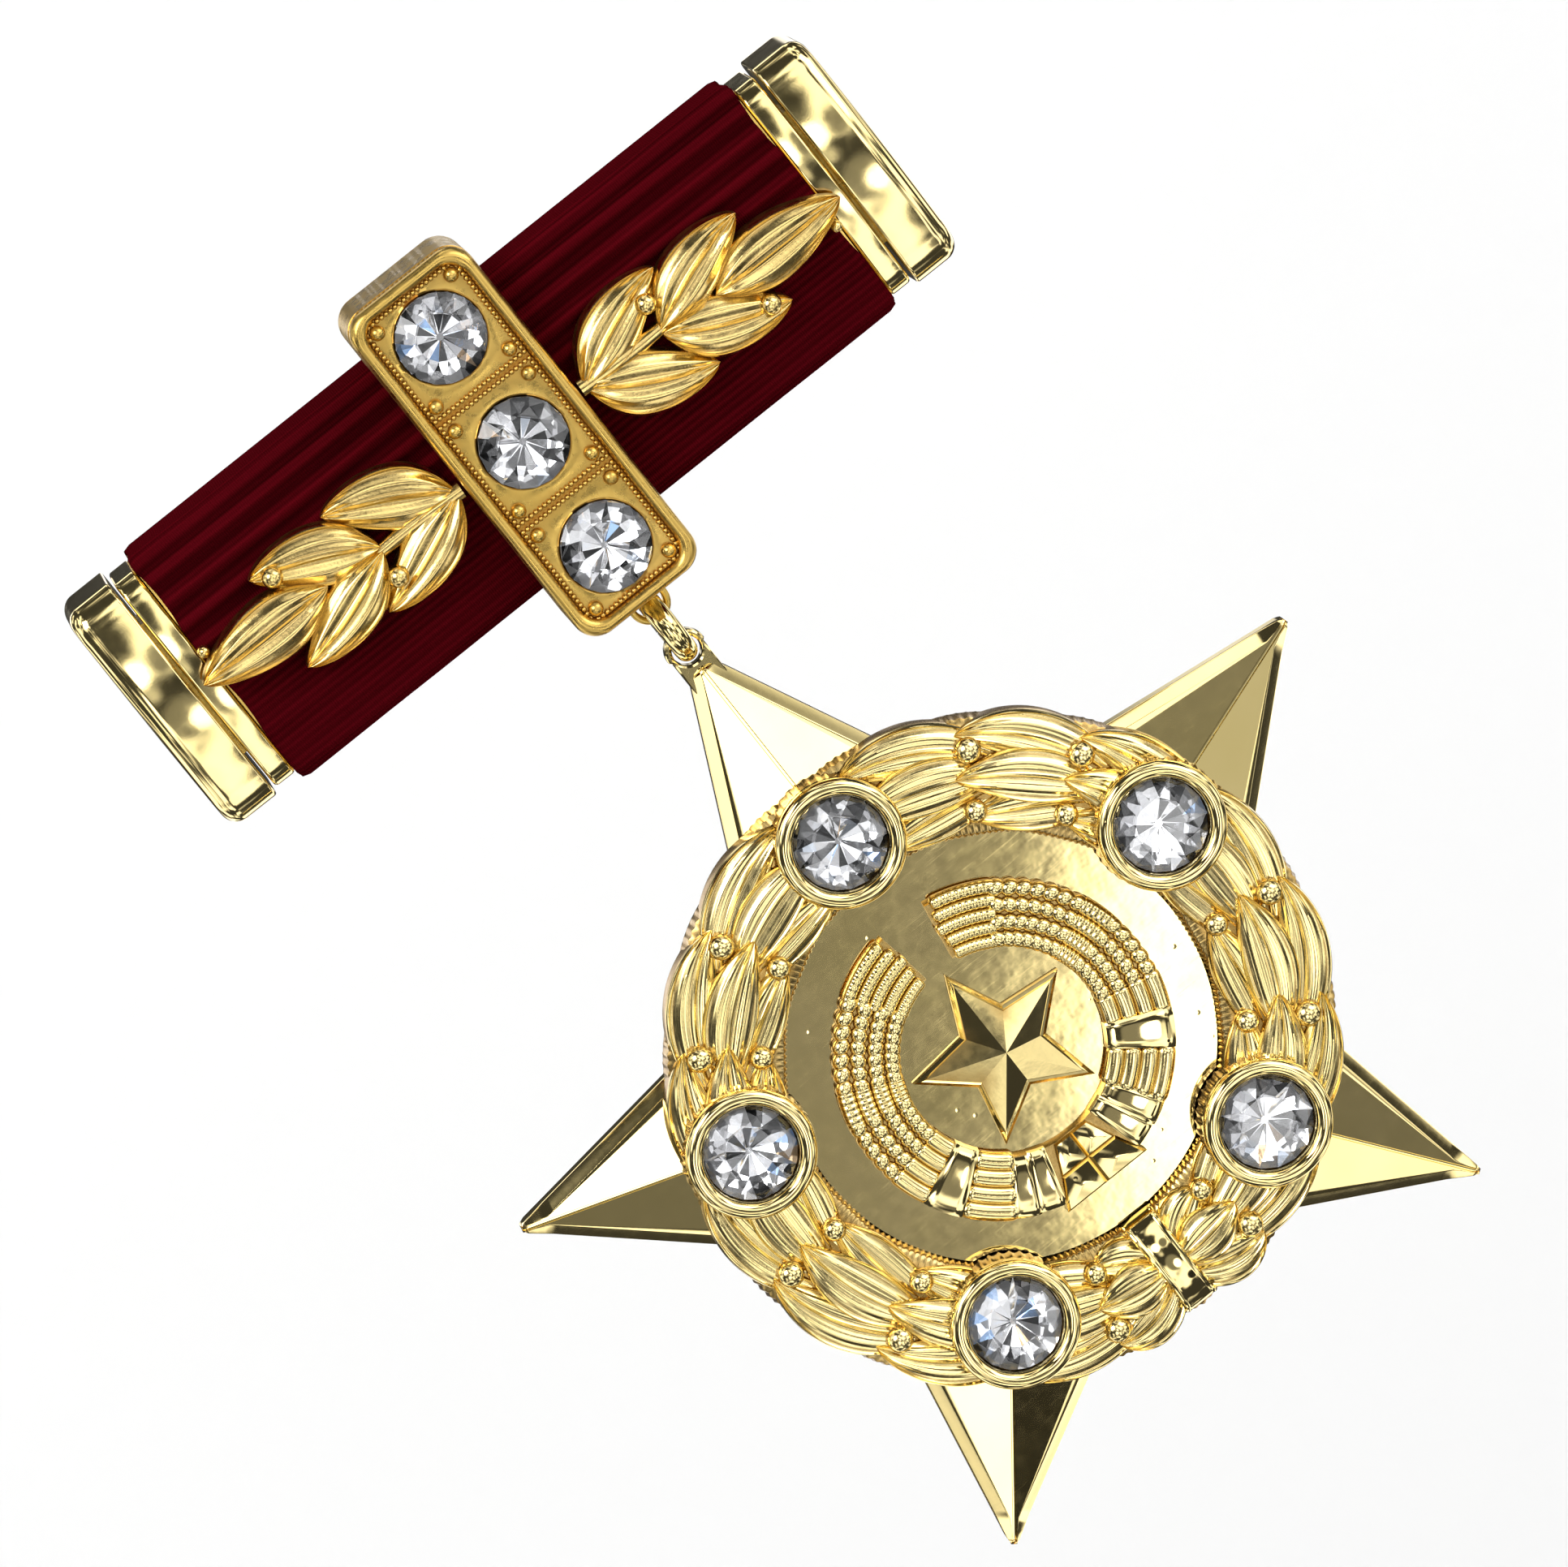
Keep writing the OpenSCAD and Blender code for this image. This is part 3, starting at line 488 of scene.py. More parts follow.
def grosgrain(name, color, sheen):
    """Ribbed ribbon: warp threads over thick weft cords, with a soft sheen; light and shade on the cords,
    between the threads and on the cloth's swells are painted into its colour.
    """
    g = Graph(bpy.data.materials.new(name))
    place = g.node("Attribute", attribute_name="weave").outputs["Vector"]
    parts = g.node("SeparateXYZ", {"Vector": place})
    across, along = parts.outputs[0], parts.outputs[1]
    warp = g.math("SINE", g.math("MULTIPLY", across, 2 * math.pi / 0.21))
    cord = g.math("SINE", g.math("MULTIPLY", along, 2 * math.pi / 0.34))
    over = g.math("ABSOLUTE", warp)
    fray = g.noise(g.millimetres(), 7.0, 3, 0.7)
    patch = g.noise(g.millimetres((0.25, 1, 1)), 0.5, 3)
    # Painted light and shade: lighter on the tops of the weft cords, darker between them.
    tone = g.mix(g.remap(cord, -1, 1, 0, 1), shade(color, 0.55), shade(color, 1.25))
    # Painted shade between the warp threads.
    tone = g.mix(g.remap(over, 0.0, 0.5, 0.35, 0), tone, shade(color, 0.35))
    tone = g.mix(g.remap(patch, 0.35, 0.7, 0, 0.35), tone, shade(color, 1.7))
    # Painted light and shade on the cloth's slow swells: darker in the troughs, lighter on the crests.
    tone = g.mix(g.remap(parts.outputs[2], -1.0, 0.2, 0.55, 0), tone, shade(color, 0.28))
    tone = g.mix(g.remap(parts.outputs[2], 0.2, 1.0, 0, 0.45), tone, shade(color, 1.9))
    height = g.math("ADD", g.math("MULTIPLY", over, 0.6), g.math("MULTIPLY", cord, 0.25))
    height = g.math("ADD", height, g.math("MULTIPLY", fray, 0.5))
    return g.finish(**{"Base Color": tone, "Roughness": g.remap(fray, 0.3, 0.7, 0.8, 1.0),
                       "Specular IOR Level": 0.0,
                       "Sheen Weight": sheen, "Sheen Roughness": 0.45,
                       "Sheen Tint": (0.6, 0.03, 0.05, 1),
                       "Normal": g.bump(height, 0.035)})


def settings():
    """The values shown in the medal's panel."""
    return bpy.context.scene.medal_settings


def material(kind):
    """The medal's finishes, each made once."""
    found = bpy.data.materials.get(kind)
    if found:
        return found
    s = settings()
    finishes = {
        "Mirror gold": lambda: gold(kind, s.gold_color, 0.05, 0.55, 0.0030, pits=0.004),
        "Polished gold": lambda: gold(kind, s.gold_color, 0.065, 1.1, 0.0018),
        "Cap gold": lambda: gold(kind, s.gold_color, 0.09, 0.5, 0.006, grain=0.0006),
        "Struck gold": lambda: gold(kind, s.gold_color, 0.13, 1.6, 0.006, grain=0.0015),
        # Here too the recess colour is painted shade with amber patina.
        "Satin gold": lambda: gold(kind, s.satin_color, 0.27, 1.2, 0.004, grain=0.0025,
                                   recess=(0.40, 0.17, 0.02)),
        "Spray gold": lambda: gold(kind, s.spray_color, 0.17, 1.5, 0.006, grain=0.004),
        "Brooch gold": lambda: gold(kind, s.satin_color, 0.24, 0.8, 0.004, grain=0.0015),
        "Pin steel": lambda: steel(kind, (0.72, 0.66, 0.52)),
        "Crystal": lambda: crystal(kind),
        "Foil": lambda: foil(kind),
        "Grosgrain": lambda: grosgrain(kind, s.ribbon_color, s.ribbon_sheen),
    }
    return finishes[kind]()


PLACES = {"star": on_star, "bar": on_bar, "ring": as_is}


def fit(shape, name, finish, body, sharp, node=None, heal=True):
    """Makes a piece, rides it on its body, and hides the CAD node that it stands for."""
    piece = shape.make(name, material(finish), PLACES[body], sharp, heal)
    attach(piece, body)
    if node:
        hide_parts(node)
    return piece


# -------------------------------------------------------------- settings


class MedalSettings(bpy.types.PropertyGroup):
    """Sizes and colours that change the medal's look."""

    gold_color: bpy.props.FloatVectorProperty(
        name="Gold", description="Colour of the polished gold", subtype="COLOR",
        default=(0.92, 0.74, 0.31), min=0, max=1)
    satin_color: bpy.props.FloatVectorProperty(
        name="Satin gold", description="Colour of the clasp box's satin gold",
        subtype="COLOR", default=(0.66, 0.44, 0.105), min=0, max=1)
    spray_color: bpy.props.FloatVectorProperty(
        name="Spray gold", description="Colour of the laurel sprays", subtype="COLOR",
        default=(0.82, 0.61, 0.22), min=0, max=1)
    ribbon_color: bpy.props.FloatVectorProperty(
        name="Ribbon", description="Colour of the ribbon", subtype="COLOR",
        default=(0.052, 0.0012, 0.0030), min=0, max=1)
    ribbon_sheen: bpy.props.FloatProperty(
        name="Ribbon sheen", description="Strength of the soft sheen on the ribbon",
        default=0.015, min=0, max=1, subtype="FACTOR")
    cord_height: bpy.props.FloatProperty(
        name="Ribbon cords", description="Height of the ribbon's ribs", unit="LENGTH",
        default=0.045 * MM, min=0, max=0.1 * MM, precision=6)
    arm_bevel: bpy.props.FloatProperty(
        name="Arm bevel", description="Width of the bevel along the star's edges", unit="LENGTH",
        default=0.5 * MM, min=0.2 * MM, max=0.9 * MM, precision=5)
    leaf_relief: bpy.props.FloatProperty(
        name="Leaf relief", description="How strongly the wreath's leaves are modelled",
        default=1.0, min=0.3, max=1.6, subtype="FACTOR")
    facets: bpy.props.IntProperty(
        name="Stone facets", description="Number of wedges in the lower half of each stone",
        default=16, min=8, max=32)
    milgrain: bpy.props.FloatProperty(
        name="Milgrain pitch", description="Distance between the clasp's tiny beads", unit="LENGTH",
        default=0.235 * MM, min=0.15 * MM, max=0.5 * MM, precision=6)
    light: bpy.props.FloatProperty(
        name="Light", description="Strength of the studio light", default=1.0, min=0, max=5)


# ---------------------------------------------------------------- pieces


def bezel_places():
    """The five stones' centres on the star, clockwise from the top."""
    turns = [math.radians(90 - 72 * i) for i in range(5)]
    return [(BEZEL_RING * math.cos(a), BEZEL_RING * math.sin(a)) for a in turns]


def sink_under_bezels(shape, floor=1.3):
    """Pushes down whatever would stand inside a bezel cup."""
    for points in shape.points:
        for x, y in bezel_places():
            inside = np.hypot(points[:, 0] - x, points[:, 1] - y) < BEZEL_R - 0.35
            points[inside, 2] = np.minimum(points[inside, 2], floor)


def round_star(side, angle, r):
    """A point at an angle up from the foot of the medallion, on either side."""
    a = math.radians(-90 + side * angle)
    return r * math.cos(a), r * math.sin(a)


def arc_path(side, start, end, r_start, r_end, steps, bow=0.0):
    """A curve up one side of the medallion, between two angles and radii, bowed outwards."""
    t = np.linspace(0, 1, steps)
    a = np.radians(-90 + side * (start + (end - start) * t))
    r = r_start + (r_end - r_start) * t + bow * 4 * t * (1 - t)
    return np.stack([r * np.cos(a), r * np.sin(a)], 1)


def eye_plate(shape, centre, foot, half_w, r, hole, low, high, n=48):
    """A flat lug with a round eye; its foot runs from the eye to a level line."""
    up = 1 if foot > centre else -1
    a = np.arange(n) * 2 * math.pi / n
    outer, inner = [], []
    for t in a:
        c, s = math.cos(t), math.sin(t)
        inner.append((hole * c, centre + hole * s))
        if s * up <= 0:
            outer.append((r * c, centre + r * s))
        else:
            reach = abs(foot - centre)
            k = min(half_w / max(abs(c), 1e-6), reach / max(abs(s), 1e-6))
            outer.append((k * c, centre + k * s))
    outer, inner = np.array(outer), np.array(inner)
    mid = np.array([0, centre])
    edge = 0.12

    def grown(ring, by):
        out = ring - mid
        return mid + out * (1 + by / np.linalg.norm(out, axis=1))[:, None]

    rings = [lift(grown(inner, edge), high), lift(grown(outer, -edge), high),
             lift(grown(outer, -edge * 0.3), high - edge * 0.3), lift(outer, high - edge),
             lift(outer, low + edge), lift(grown(outer, -edge), low), lift(grown(inner, edge), low),
             lift(inner, low + edge), lift(inner, high - edge),
             lift(grown(inner, edge * 0.3), high - edge * 0.3), lift(grown(inner, edge), high)]
    shape.loft(rings)


# The star: where an arm's straight edges would meet, its inner corners, its edge's height
STAR_POINT, CORNER_R, SHOULDER_H = 22.22, 10.8, 0.78
ARM_SLOPE = CORNER_R * math.sin(math.radians(36)) / (STAR_POINT - CORNER_R * math.cos(math.radians(36)))
# Height of an arm's ridge at the centre and at the point, and of its facets' outer edge
CREST_IN, CREST_OUT, FACET_FOOT = 3.1, 1.2, 1.22
# Length of the rounded tip, and the radius that the wreath hides
TIP, HIDDEN_R = 0.25, WREATH_OUT - 0.45


def arm_end(arm):
    """How far an arm reaches: the top one is cut off above the ring's eye."""
    return STAR_TOP_CUT if arm == 0 else STAR_R


class MEDAL_OT_star_plate(bpy.types.Operator):
    """Builds the faceted five-armed star with its bevelled edges and hanging eye"""

    bl_idname = "medal.star_plate"
    bl_label = "Star Plate"

    def execute(self, context):
        star = Shape()
        for arm in range(5):
            for side in (-1, 1):
                self.half_arm(star, arm, side)
        self.plate(star)
        eye_plate(star, RING_EYE, RING_EYE - 2.2, LUG_R - 0.1, LUG_R, EYE_R, 0.2, 1.0)
        fit(star, "star_plate_struck", "Polished gold", "star", 20, "star_plate")
        return {"FINISHED"}

    def half_arm(self, star, arm, side):
        """One facet of an arm with its bevel, closed by a wall under the wreath"""
        turn = math.radians(-72 * arm)
        c, s = math.cos(turn), math.sin(turn)
        end = arm_end(arm)
        foot = SHOULDER_H - 0.05

        def turned(out, along, h):
            x = side * out
            return c * x - s * along, s * x + c * along, h

        steep = 1 + ARM_SLOPE**2
        far = ARM_SLOPE**2 * STAR_POINT
        first = far + math.sqrt(far**2 - steep * (far * STAR_POINT - HIDDEN_R**2))
        first = first / steep
        under = np.linspace(first, HIDDEN_R, 6)
        rings = []
        for along in np.concatenate([under, np.linspace(HIDDEN_R, end - TIP, 24)[1:],
                                     end - TIP * (1 - np.sin(np.linspace(0.2, 1.5, 6)))]):
            tip = max(0.0, (along - (end - TIP)) / TIP)
            near = math.sqrt(max(HIDDEN_R**2 - along**2, 0.0))
            rings.append([turned(max(t, near), along, h - 0.10 * tip**2)
                          for t, h in self.profile(along, tip, foot)])
        start = [[(*p[:2], foot) for p in rings[0]]]
        last = [[(*p[:2], foot) for p in rings[-1]]]
        star.loft(start + rings + last, closed=False)
        wall = []
        for along in under:
            t = math.sqrt(max(HIDDEN_R**2 - along**2, 0))
            crest, fall = self.ridge(along)
            wall.append([turned(t, along, foot), turned(t, along, crest - fall * t)])
        star.loft(wall, closed=False)

    def ridge(self, along):
        """Height of the ridge, and how fast the facet falls away from it"""
        crest = CREST_IN - (CREST_IN - CREST_OUT) * along / STAR_POINT + 0.02
        return crest, (crest - FACET_FOOT) / (ARM_SLOPE * (STAR_POINT - along))

    def profile(self, along, tip, foot):
        """Half an arm's section, (across, height): a fine ridge, the facet and the round bevel"""
        wide = ARM_SLOPE * (STAR_POINT - along)
        wide_now = wide * math.sqrt(max(1 - tip**2, 0.0)) if tip else wide
        crest, fall = self.ridge(along)
        bevel = min(settings().arm_bevel / MM / math.cos(math.atan(ARM_SLOPE)), wide_now * 0.75)
        ridge_edge, groove = 0.13, 0.07
        line = [(q, crest - fall * q - (groove if q < 0.06 else 0.0))
                for q in (0, 0.05, 0.085, ridge_edge)]
        for q in np.linspace(0.2, 1, 8):
            t = ridge_edge + (wide_now - bevel - ridge_edge) * q
            line.append((t, crest - fall * t))
        rim = crest - fall * (wide_now - bevel)
        for q, drop in ((0.04, 0.012), (0.1, 0.05), (0.9, 0.43), (0.97, 0.48), (1.0, 0.54)):
            line.append((wide_now - bevel + bevel * q, rim - drop * bevel / 0.55))
        return line + [(wide_now, foot)]

    def plate(self, star):
        """The flat plate that carries the arms, with a small round along its back edge"""
        outline = []
        for arm in range(5):
            end = arm_end(arm)
            a = math.radians(90 - 72 * arm)
            half = ARM_SLOPE * (STAR_POINT - end)
            tip = [(-half - ARM_SLOPE * TIP, end - TIP), (-half * 0.86, end - 0.07), (-half * 0.4, end)]
            tip += [(-x, y) for x, y in tip[::-1]]
            outline += [(math.sin(a) * x + math.cos(a) * y, -math.cos(a) * x + math.sin(a) * y)
                        for x, y in tip]
            b = a - math.radians(36)
            outline.append((CORNER_R * math.cos(b), CORNER_R * math.sin(b)))
        outline = np.array(outline)[::-1]
        star.loft([lift(outline * 0.05, 0), lift(outline * 0.6, 0),
                   lift(inset(outline, 0.16), 0), lift(inset(outline, 0.05), 0.05),
                   lift(outline, 0.16), lift(outline, SHOULDER_H), lift(outline * 0.5, SHOULDER_H)],
                  start_cap=True, end_cap=True)


# A group's outer, inner and top leaf: degrees covered before and past the group's tip, how far
# its foot and tip lie off the middle of the wreath, its bow, half width, height, base and foot
WREATH_LEAVES = ((27, 1.5, 0.75, 1.82, 0.28, 1.18, -0.10, 1.5, 0.6),
                 (27, 1.0, -0.70, -1.72, -0.24, 1.10, -0.10, 1.5, 0.6),
                 (25.5, 3.0, -0.05, -0.05, 0.0, 1.22, 0.12, 1.8, 0.45))


class MEDAL_OT_laurel_wreath(bpy.types.Operator):
    """Builds the laurel wreath: eight groups of three struck leaves up each side"""

    bl_idname = "medal.laurel_wreath"
    bl_label = "Laurel Wreath"

    def execute(self, context):
        wreath = Shape()
        relief = settings().leaf_relief
        mid = (WREATH_IN + WREATH_OUT) / 2
        groups, pitch, first = 8, 22.5, 15
        shingle = np.linspace(0, 0.26, 32)
        for side in (-1, 1):
            for k in range(groups):
                tip = first + pitch * k
                for cover, past, r_foot, r_tip, bow, wide, high, base, foot in WREATH_LEAVES:
                    path = arc_path(side, max(tip - cover, 3), tip + past, mid + r_foot, mid + r_tip,
                                    len(shingle), bow)
                    leaf(wreath, path, wide, LEAF_TOP - 0.72 + high + shingle, base, relief, foot)
        self.body(wreath)
        sink_under_bezels(wreath)
        for points in wreath.points:
            strip = (np.abs(points[:, 0]) < TIE_HALF - 0.15) & (points[:, 1] < -5)
            points[strip, 2] = np.minimum(points[strip, 2], 2.5)
        fit(wreath, "laurel_wreath_struck", "Struck gold", "star", 50, "laurel_wreath")
        return {"FINISHED"}

    def body(self, wreath):
        """The domed bed under the leaves, with fluted, drafted walls"""
        n = 1080
        a = np.arange(n) * 2 * math.pi / n
        up = np.degrees(np.abs(np.arctan2(np.cos(a), -np.sin(a))))
        lobe = np.abs(np.sin(np.radians((up - 15 + 11.25) / 22.5 * 180)))
        flute = 0.035 * np.cos(a * 216)
        rings, shade = [], []

        def put(r, h, dark, lobed=0.0, fluted=0.0):
            radius = r + lobed * lobe + fluted * flute
            rings.append(np.stack([radius * np.cos(a), radius * np.sin(a),
                                   np.full(n, h)], 1))
            shade.append(dark)

        inner, outer = WREATH_IN, WREATH_OUT - 0.55
        # Painted shade: the dark values put the recess colour on the bed's walls and feet beside the leaves,
        # as shade with amber patina.
        put(inner + 0.25, 1.2, 0.3)
        put(inner, 1.2, 1, -0.02)
        put(inner + 0.02, 1.75, 1, -0.05, 1)
        put(inner + 0.22, LEAF_TOP - 0.95, 0.9, -0.15, 1)
        put(inner + 0.38, LEAF_TOP - 0.8, 0.7, -0.2)
        for k in range(12):
            q = (k + 1) / 13
            r = inner + 0.38 + (outer - inner - 0.7) * q
            put(r, LEAF_TOP - 0.8 + 0.28 * math.sin(math.pi * q), 1.0)
        put(outer - 0.25, LEAF_TOP - 0.8, 0.7, 0.25)
        put(outer - 0.05, LEAF_TOP - 0.95, 0.9, 0.35, 1)
        put(outer + 0.12, 1.5, 1, 0.3, 1)
        put(outer + 0.14, 1.2, 1, 0.25)
        put(outer - 0.1, 1.14, 0.4)
        wreath.loft(rings + [rings[0]], cavity=shade + [shade[0]])


class MEDAL_OT_wreath_berries(bpy.types.Operator):
    """Sets pairs of laurel berries between the groups of leaves"""

    bl_idname = "medal.wreath_berries"
    bl_label = "Wreath Berries"

    def execute(self, context):
        berries = Shape()
        for side in (-1, 1):
            for up in (16, 58, 82.5, 128, 149.5):
                for r, size in ((13.15, 0.58), (10.5, 0.52)):
                    x, y = round_star(side, up, r)
                    blob(berries, x, y, LEAF_TOP - 0.42, size, 0.85, n=28, sink=0.6, edge=0.9)
        fit(berries, "wreath_berries_struck", "Struck gold", "star", 60, "wreath_berries")
        return {"FINISHED"}


class MEDAL_OT_wreath_tie(bpy.types.Operator):
    """Builds the polished band with raised edges that ties the foot of the wreath"""

    bl_idname = "medal.wreath_tie"
    bl_label = "Wreath Tie"

    def execute(self, context):
        tie = Shape()
        low, high = box_mm("wreath_tie")
        bottom, top = low[2] - STAR_Z, high[2] - STAR_Z
        rings = []
        for q in np.linspace(0, 1, 40):
            y = bottom + 0.45 + (top - bottom - 0.40) * q
            arch = math.sin(math.pi * q)
            crown = LEAF_TOP - 0.95 + 1.1 * arch**0.42
            wide = TIE_HALF * (0.93 + 0.13 * abs(2 * q - 1) ** 2)
            ring = [(-wide, y, 1.2)]
            for u in np.linspace(-1, 1, 33):
                rim = 0.10 * math.exp(-(((abs(u) - 0.84) / 0.10) ** 2))
                drop = 0.25 * max(0.0, (abs(u) - 0.9) / 0.1) ** 2
                ring.append((wide * u, y, crown + rim + 0.07 * (1 - u * u) - drop))
            ring.append((wide, y, 1.2))
            rings.append(ring)
        tie.loft(rings, start_cap=True, end_cap=True)
        fit(tie, "wreath_tie_band", "Mirror gold", "star", 35, "wreath_tie")
        return {"FINISHED"}


class MEDAL_OT_grain_wreath(bpy.types.Operator):
    """Builds the two branches of grain ears with their stems and awns"""

    bl_idname = "medal.grain_wreath"
    bl_label = "Grain Wreath"

    def execute(self, context):
        ears = Shape()
        deck = FIELD_H + 0.42
        mid, half = (EARS_IN + EARS_OUT) / 2, (EARS_OUT - EARS_IN) / 2
        lanes = [mid + half * q for q in (-0.74, -0.25, 0.25, 0.74)]
        for side in (-1, 1):
            self.bed(ears, side, 0, 171, deck)
            for r in lanes:
                self.strand(ears, side, 33, 53, r, 0.41, deck)
                self.strand(ears, side, 65, 80, r, 0.40, deck)
                self.strand(ears, side, 101, 115, r, 0.39, deck, 0.5)
            self.kernels(ears, side, 79, 103, 5, lanes, deck)
            self.kernels(ears, side, 113, 148, 7, lanes, deck)
            for j in range(5):
                r = mid + half * (j - 2) * 0.40
                self.strand(ears, side, 146, 171.5 - abs(j - 2) * 1.2, r, 0.31, deck, 0.35, blunt=True)
        fit(ears, "grain_wreath_struck", "Struck gold", "star", 50, "grain_wreath")
        return {"FINISHED"}

    def bed(self, ears, side, start, end, deck):
        """The solid bed of a branch, with painted shade and amber patina on its drafted wall"""
        rings, shade = [], []
        for r, h, dark in ((EARS_IN + 0.05, FIELD_H - 0.1, 1), (EARS_IN + 0.05, FIELD_H + 0.02, 1),
                           (EARS_IN + 0.2, deck, 0.9), (EARS_OUT - 0.25, deck, 0.9),
                           (EARS_OUT - 0.08, FIELD_H + 0.02, 1), (EARS_OUT - 0.08, FIELD_H - 0.1, 1)):
            rings.append(lift(arc_path(side, start, end, r, r, 90), h))
            shade.append(dark)
        ears.loft(rings + [rings[0]], closed=False, cavity=shade + [shade[0]])
        for index in (0, -1):
            ears.add([ring[index] for ring in rings], [list(range(len(rings)))], 0.9)

    def strand(self, ears, side, start, end, r, wide, deck, ripple=0.0, blunt=False):
        """One raised stem, finely ribbed across where it is an awn"""
        steps = 60 if ripple else 26
        path = arc_path(side, start, end, r, r, steps)
        across = leftward(direction(path))
        rings, shade = [], []
        u = np.linspace(-1, 1, 11)
        for i in range(steps):
            t = i / (steps - 1)
            close = min(1.0, (1 - t) * (14 if blunt else 8), t * 8 + 0.3) ** 0.5
            w = wide * (0.55 + 0.45 * close)
            dome = 0.30 * np.sqrt(np.maximum(1 - u**2, 0)) * (0.35 + 0.65 * close)
            dome = dome + ripple * 0.06 * math.sin(t * (end - start) * 2.6)
            rings.append(np.concatenate([
                lift([path[i] + across[i] * -w], deck - 0.2),
                np.column_stack([path[i] + np.outer(u * w, across[i]), deck + dome]),
                lift([path[i] + across[i] * w], deck - 0.2)]))
            # Painted shade: darker towards the stem's sides and on its skirt.
            shade.append(np.concatenate([[1], 0.9 * np.abs(u) ** 4, [1]]))
        strip(ears, rings, shade)

    def kernels(self, ears, side, start, end, rows, lanes, deck):
        """Rows of plump grains, every other lane set half a row further on"""
        step = (end - start) / rows
        for j in range(rows):
            for k, r in enumerate(lanes):
                up = start + (j + (0.5 if k in (0, 3) else 0.45)) * step
                x, y = round_star(side, up, r)
                turn = math.radians(-90 + side * up) + math.pi / 2 * side
                turn += side * (0.42 if k % 2 else -0.42)
                blob(ears, x, y, deck - 0.02, 0.37, 0.92, 1.22, turn, 16, 0.3, edge=1.2)


class MEDAL_OT_grain_bands(bpy.types.Operator):
    """Wraps plain polished bands round the grain, with the folded knot at its foot"""

    bl_idname = "medal.grain_bands"
    bl_label = "Grain Bands"

    def execute(self, context):
        bands = Shape()
        deck = EARS_TOP
        for side in (-1, 1):
            self.panel(bands, side, 52, 66, EARS_IN, EARS_OUT, deck - 0.12, 0.16)
            self.panel(bands, side, 15.6, 25.5, EARS_IN + 0.15, EARS_OUT - 0.15, deck - 0.22, 0.14)
            self.panel(bands, side, 24.5, 34.5, EARS_IN + 0.25, EARS_OUT - 0.05, deck - 0.30, 0.18)
        for side in (-1, 1):
            for low_r, high_r, wide_low, wide_high in ((4.6, 5.95, 0.85, 1.45), (5.95, 7.35, 1.45, 2.15)):
                a, b = -high_r, -low_r
                corners = np.array([(0, a), (side * wide_high, a), (side * wide_low, b), (0, b)])
                if side < 0:
                    corners = corners[::-1]
                centre = corners.mean(0)
                # Painted shade at the foot of the knot and part way up its wall.
                bands.loft([lift(corners, FIELD_H - 0.05), lift(corners, deck - 0.28),
                            lift(centre + (corners - centre) * 0.86, deck - 0.12),
                            lift(centre + (corners - centre) * 0.12, deck)],
                           start_cap=True, end_cap=True, cavity=[1, 0.6, 0, 0])
        fit(bands, "grain_bands_polished", "Mirror gold", "star", 25, "grain_bands")
        return {"FINISHED"}

    def panel(self, bands, side, start, end, r_in, r_out, deck, crown):
        """A smooth panel that arches across the branch"""
        rings, shade = [], []
        # Painted shade: the panel darkens at its edges, and most at its feet and ends.
        for u in np.linspace(-1, 1, 15):
            r = (r_in + r_out) / 2 + (r_out - r_in) / 2 * u
            h = deck + crown * math.sqrt(max(1 - u * u, 0.0))
            line = arc_path(side, start, end, r, r, 9)
            edge = np.abs(np.linspace(-1, 1, 9)) ** 6
            rings.append(lift(line, h - 0.07 * edge))
            shade.append(0.3 * abs(u) ** 8)
        foot_in = lift(arc_path(side, start, end, r_in - 0.06, r_in - 0.06, 9), FIELD_H - 0.05)
        foot_out = lift(arc_path(side, start, end, r_out + 0.06, r_out + 0.06, 9), FIELD_H - 0.05)
        rings = [foot_in] + rings + [foot_out]
        bands.loft(rings + [foot_in], closed=False, cavity=[1] + shade + [1, 1])
        for index in (0, -1):
            bands.add([ring[index] for ring in rings], [list(range(len(rings)))], 0.5)


class MEDAL_OT_centre_device(bpy.types.Operator):
    """Builds the plain faceted five-point device in the middle of the field"""

    bl_idname = "medal.centre_device"
    bl_label = "Centre Device"

    def execute(self, context):
        device = Shape()
        low, high = box_mm("centre_device")
        reach = high[2] - STAR_Z
        top = STAR_BACK - low[1]
        notch = reach * 0.47
        corners = []
        for i in range(10):
            a = math.radians(90 - 36 * i)
            r = reach if i % 2 == 0 else notch
            corners.append((r * math.cos(a), r * math.sin(a)))
        corners = np.array(corners[::-1])
        edge = FIELD_H + 0.30
        base = lift(corners, FIELD_H - 0.05)
        wall = lift(corners * 0.992, edge)
        lip = lift(inset(corners, 0.15), edge + 0.13)
        groove = lift(inset(corners, 0.24), edge + 0.06)
        # Painted shade at the device's foot and in the groove inside its lip.
        device.loft([base, wall, lip, groove], start_cap=True, cavity=[1, 0.5, 0, 0.8])
        inner = inset(corners, 0.24)
        crest = (0, 0, top)
        points, faces = [crest], []
        for i in range(10):
            points.append((*inner[i], edge + 0.06))
        for i in range(10):
            faces.append([0, 1 + i, 1 + (i + 1) % 10])
        device.add(points, faces)
        fit(device, "centre_device_faceted", "Polished gold", "star", 12, "centre_device")
        return {"FINISHED"}


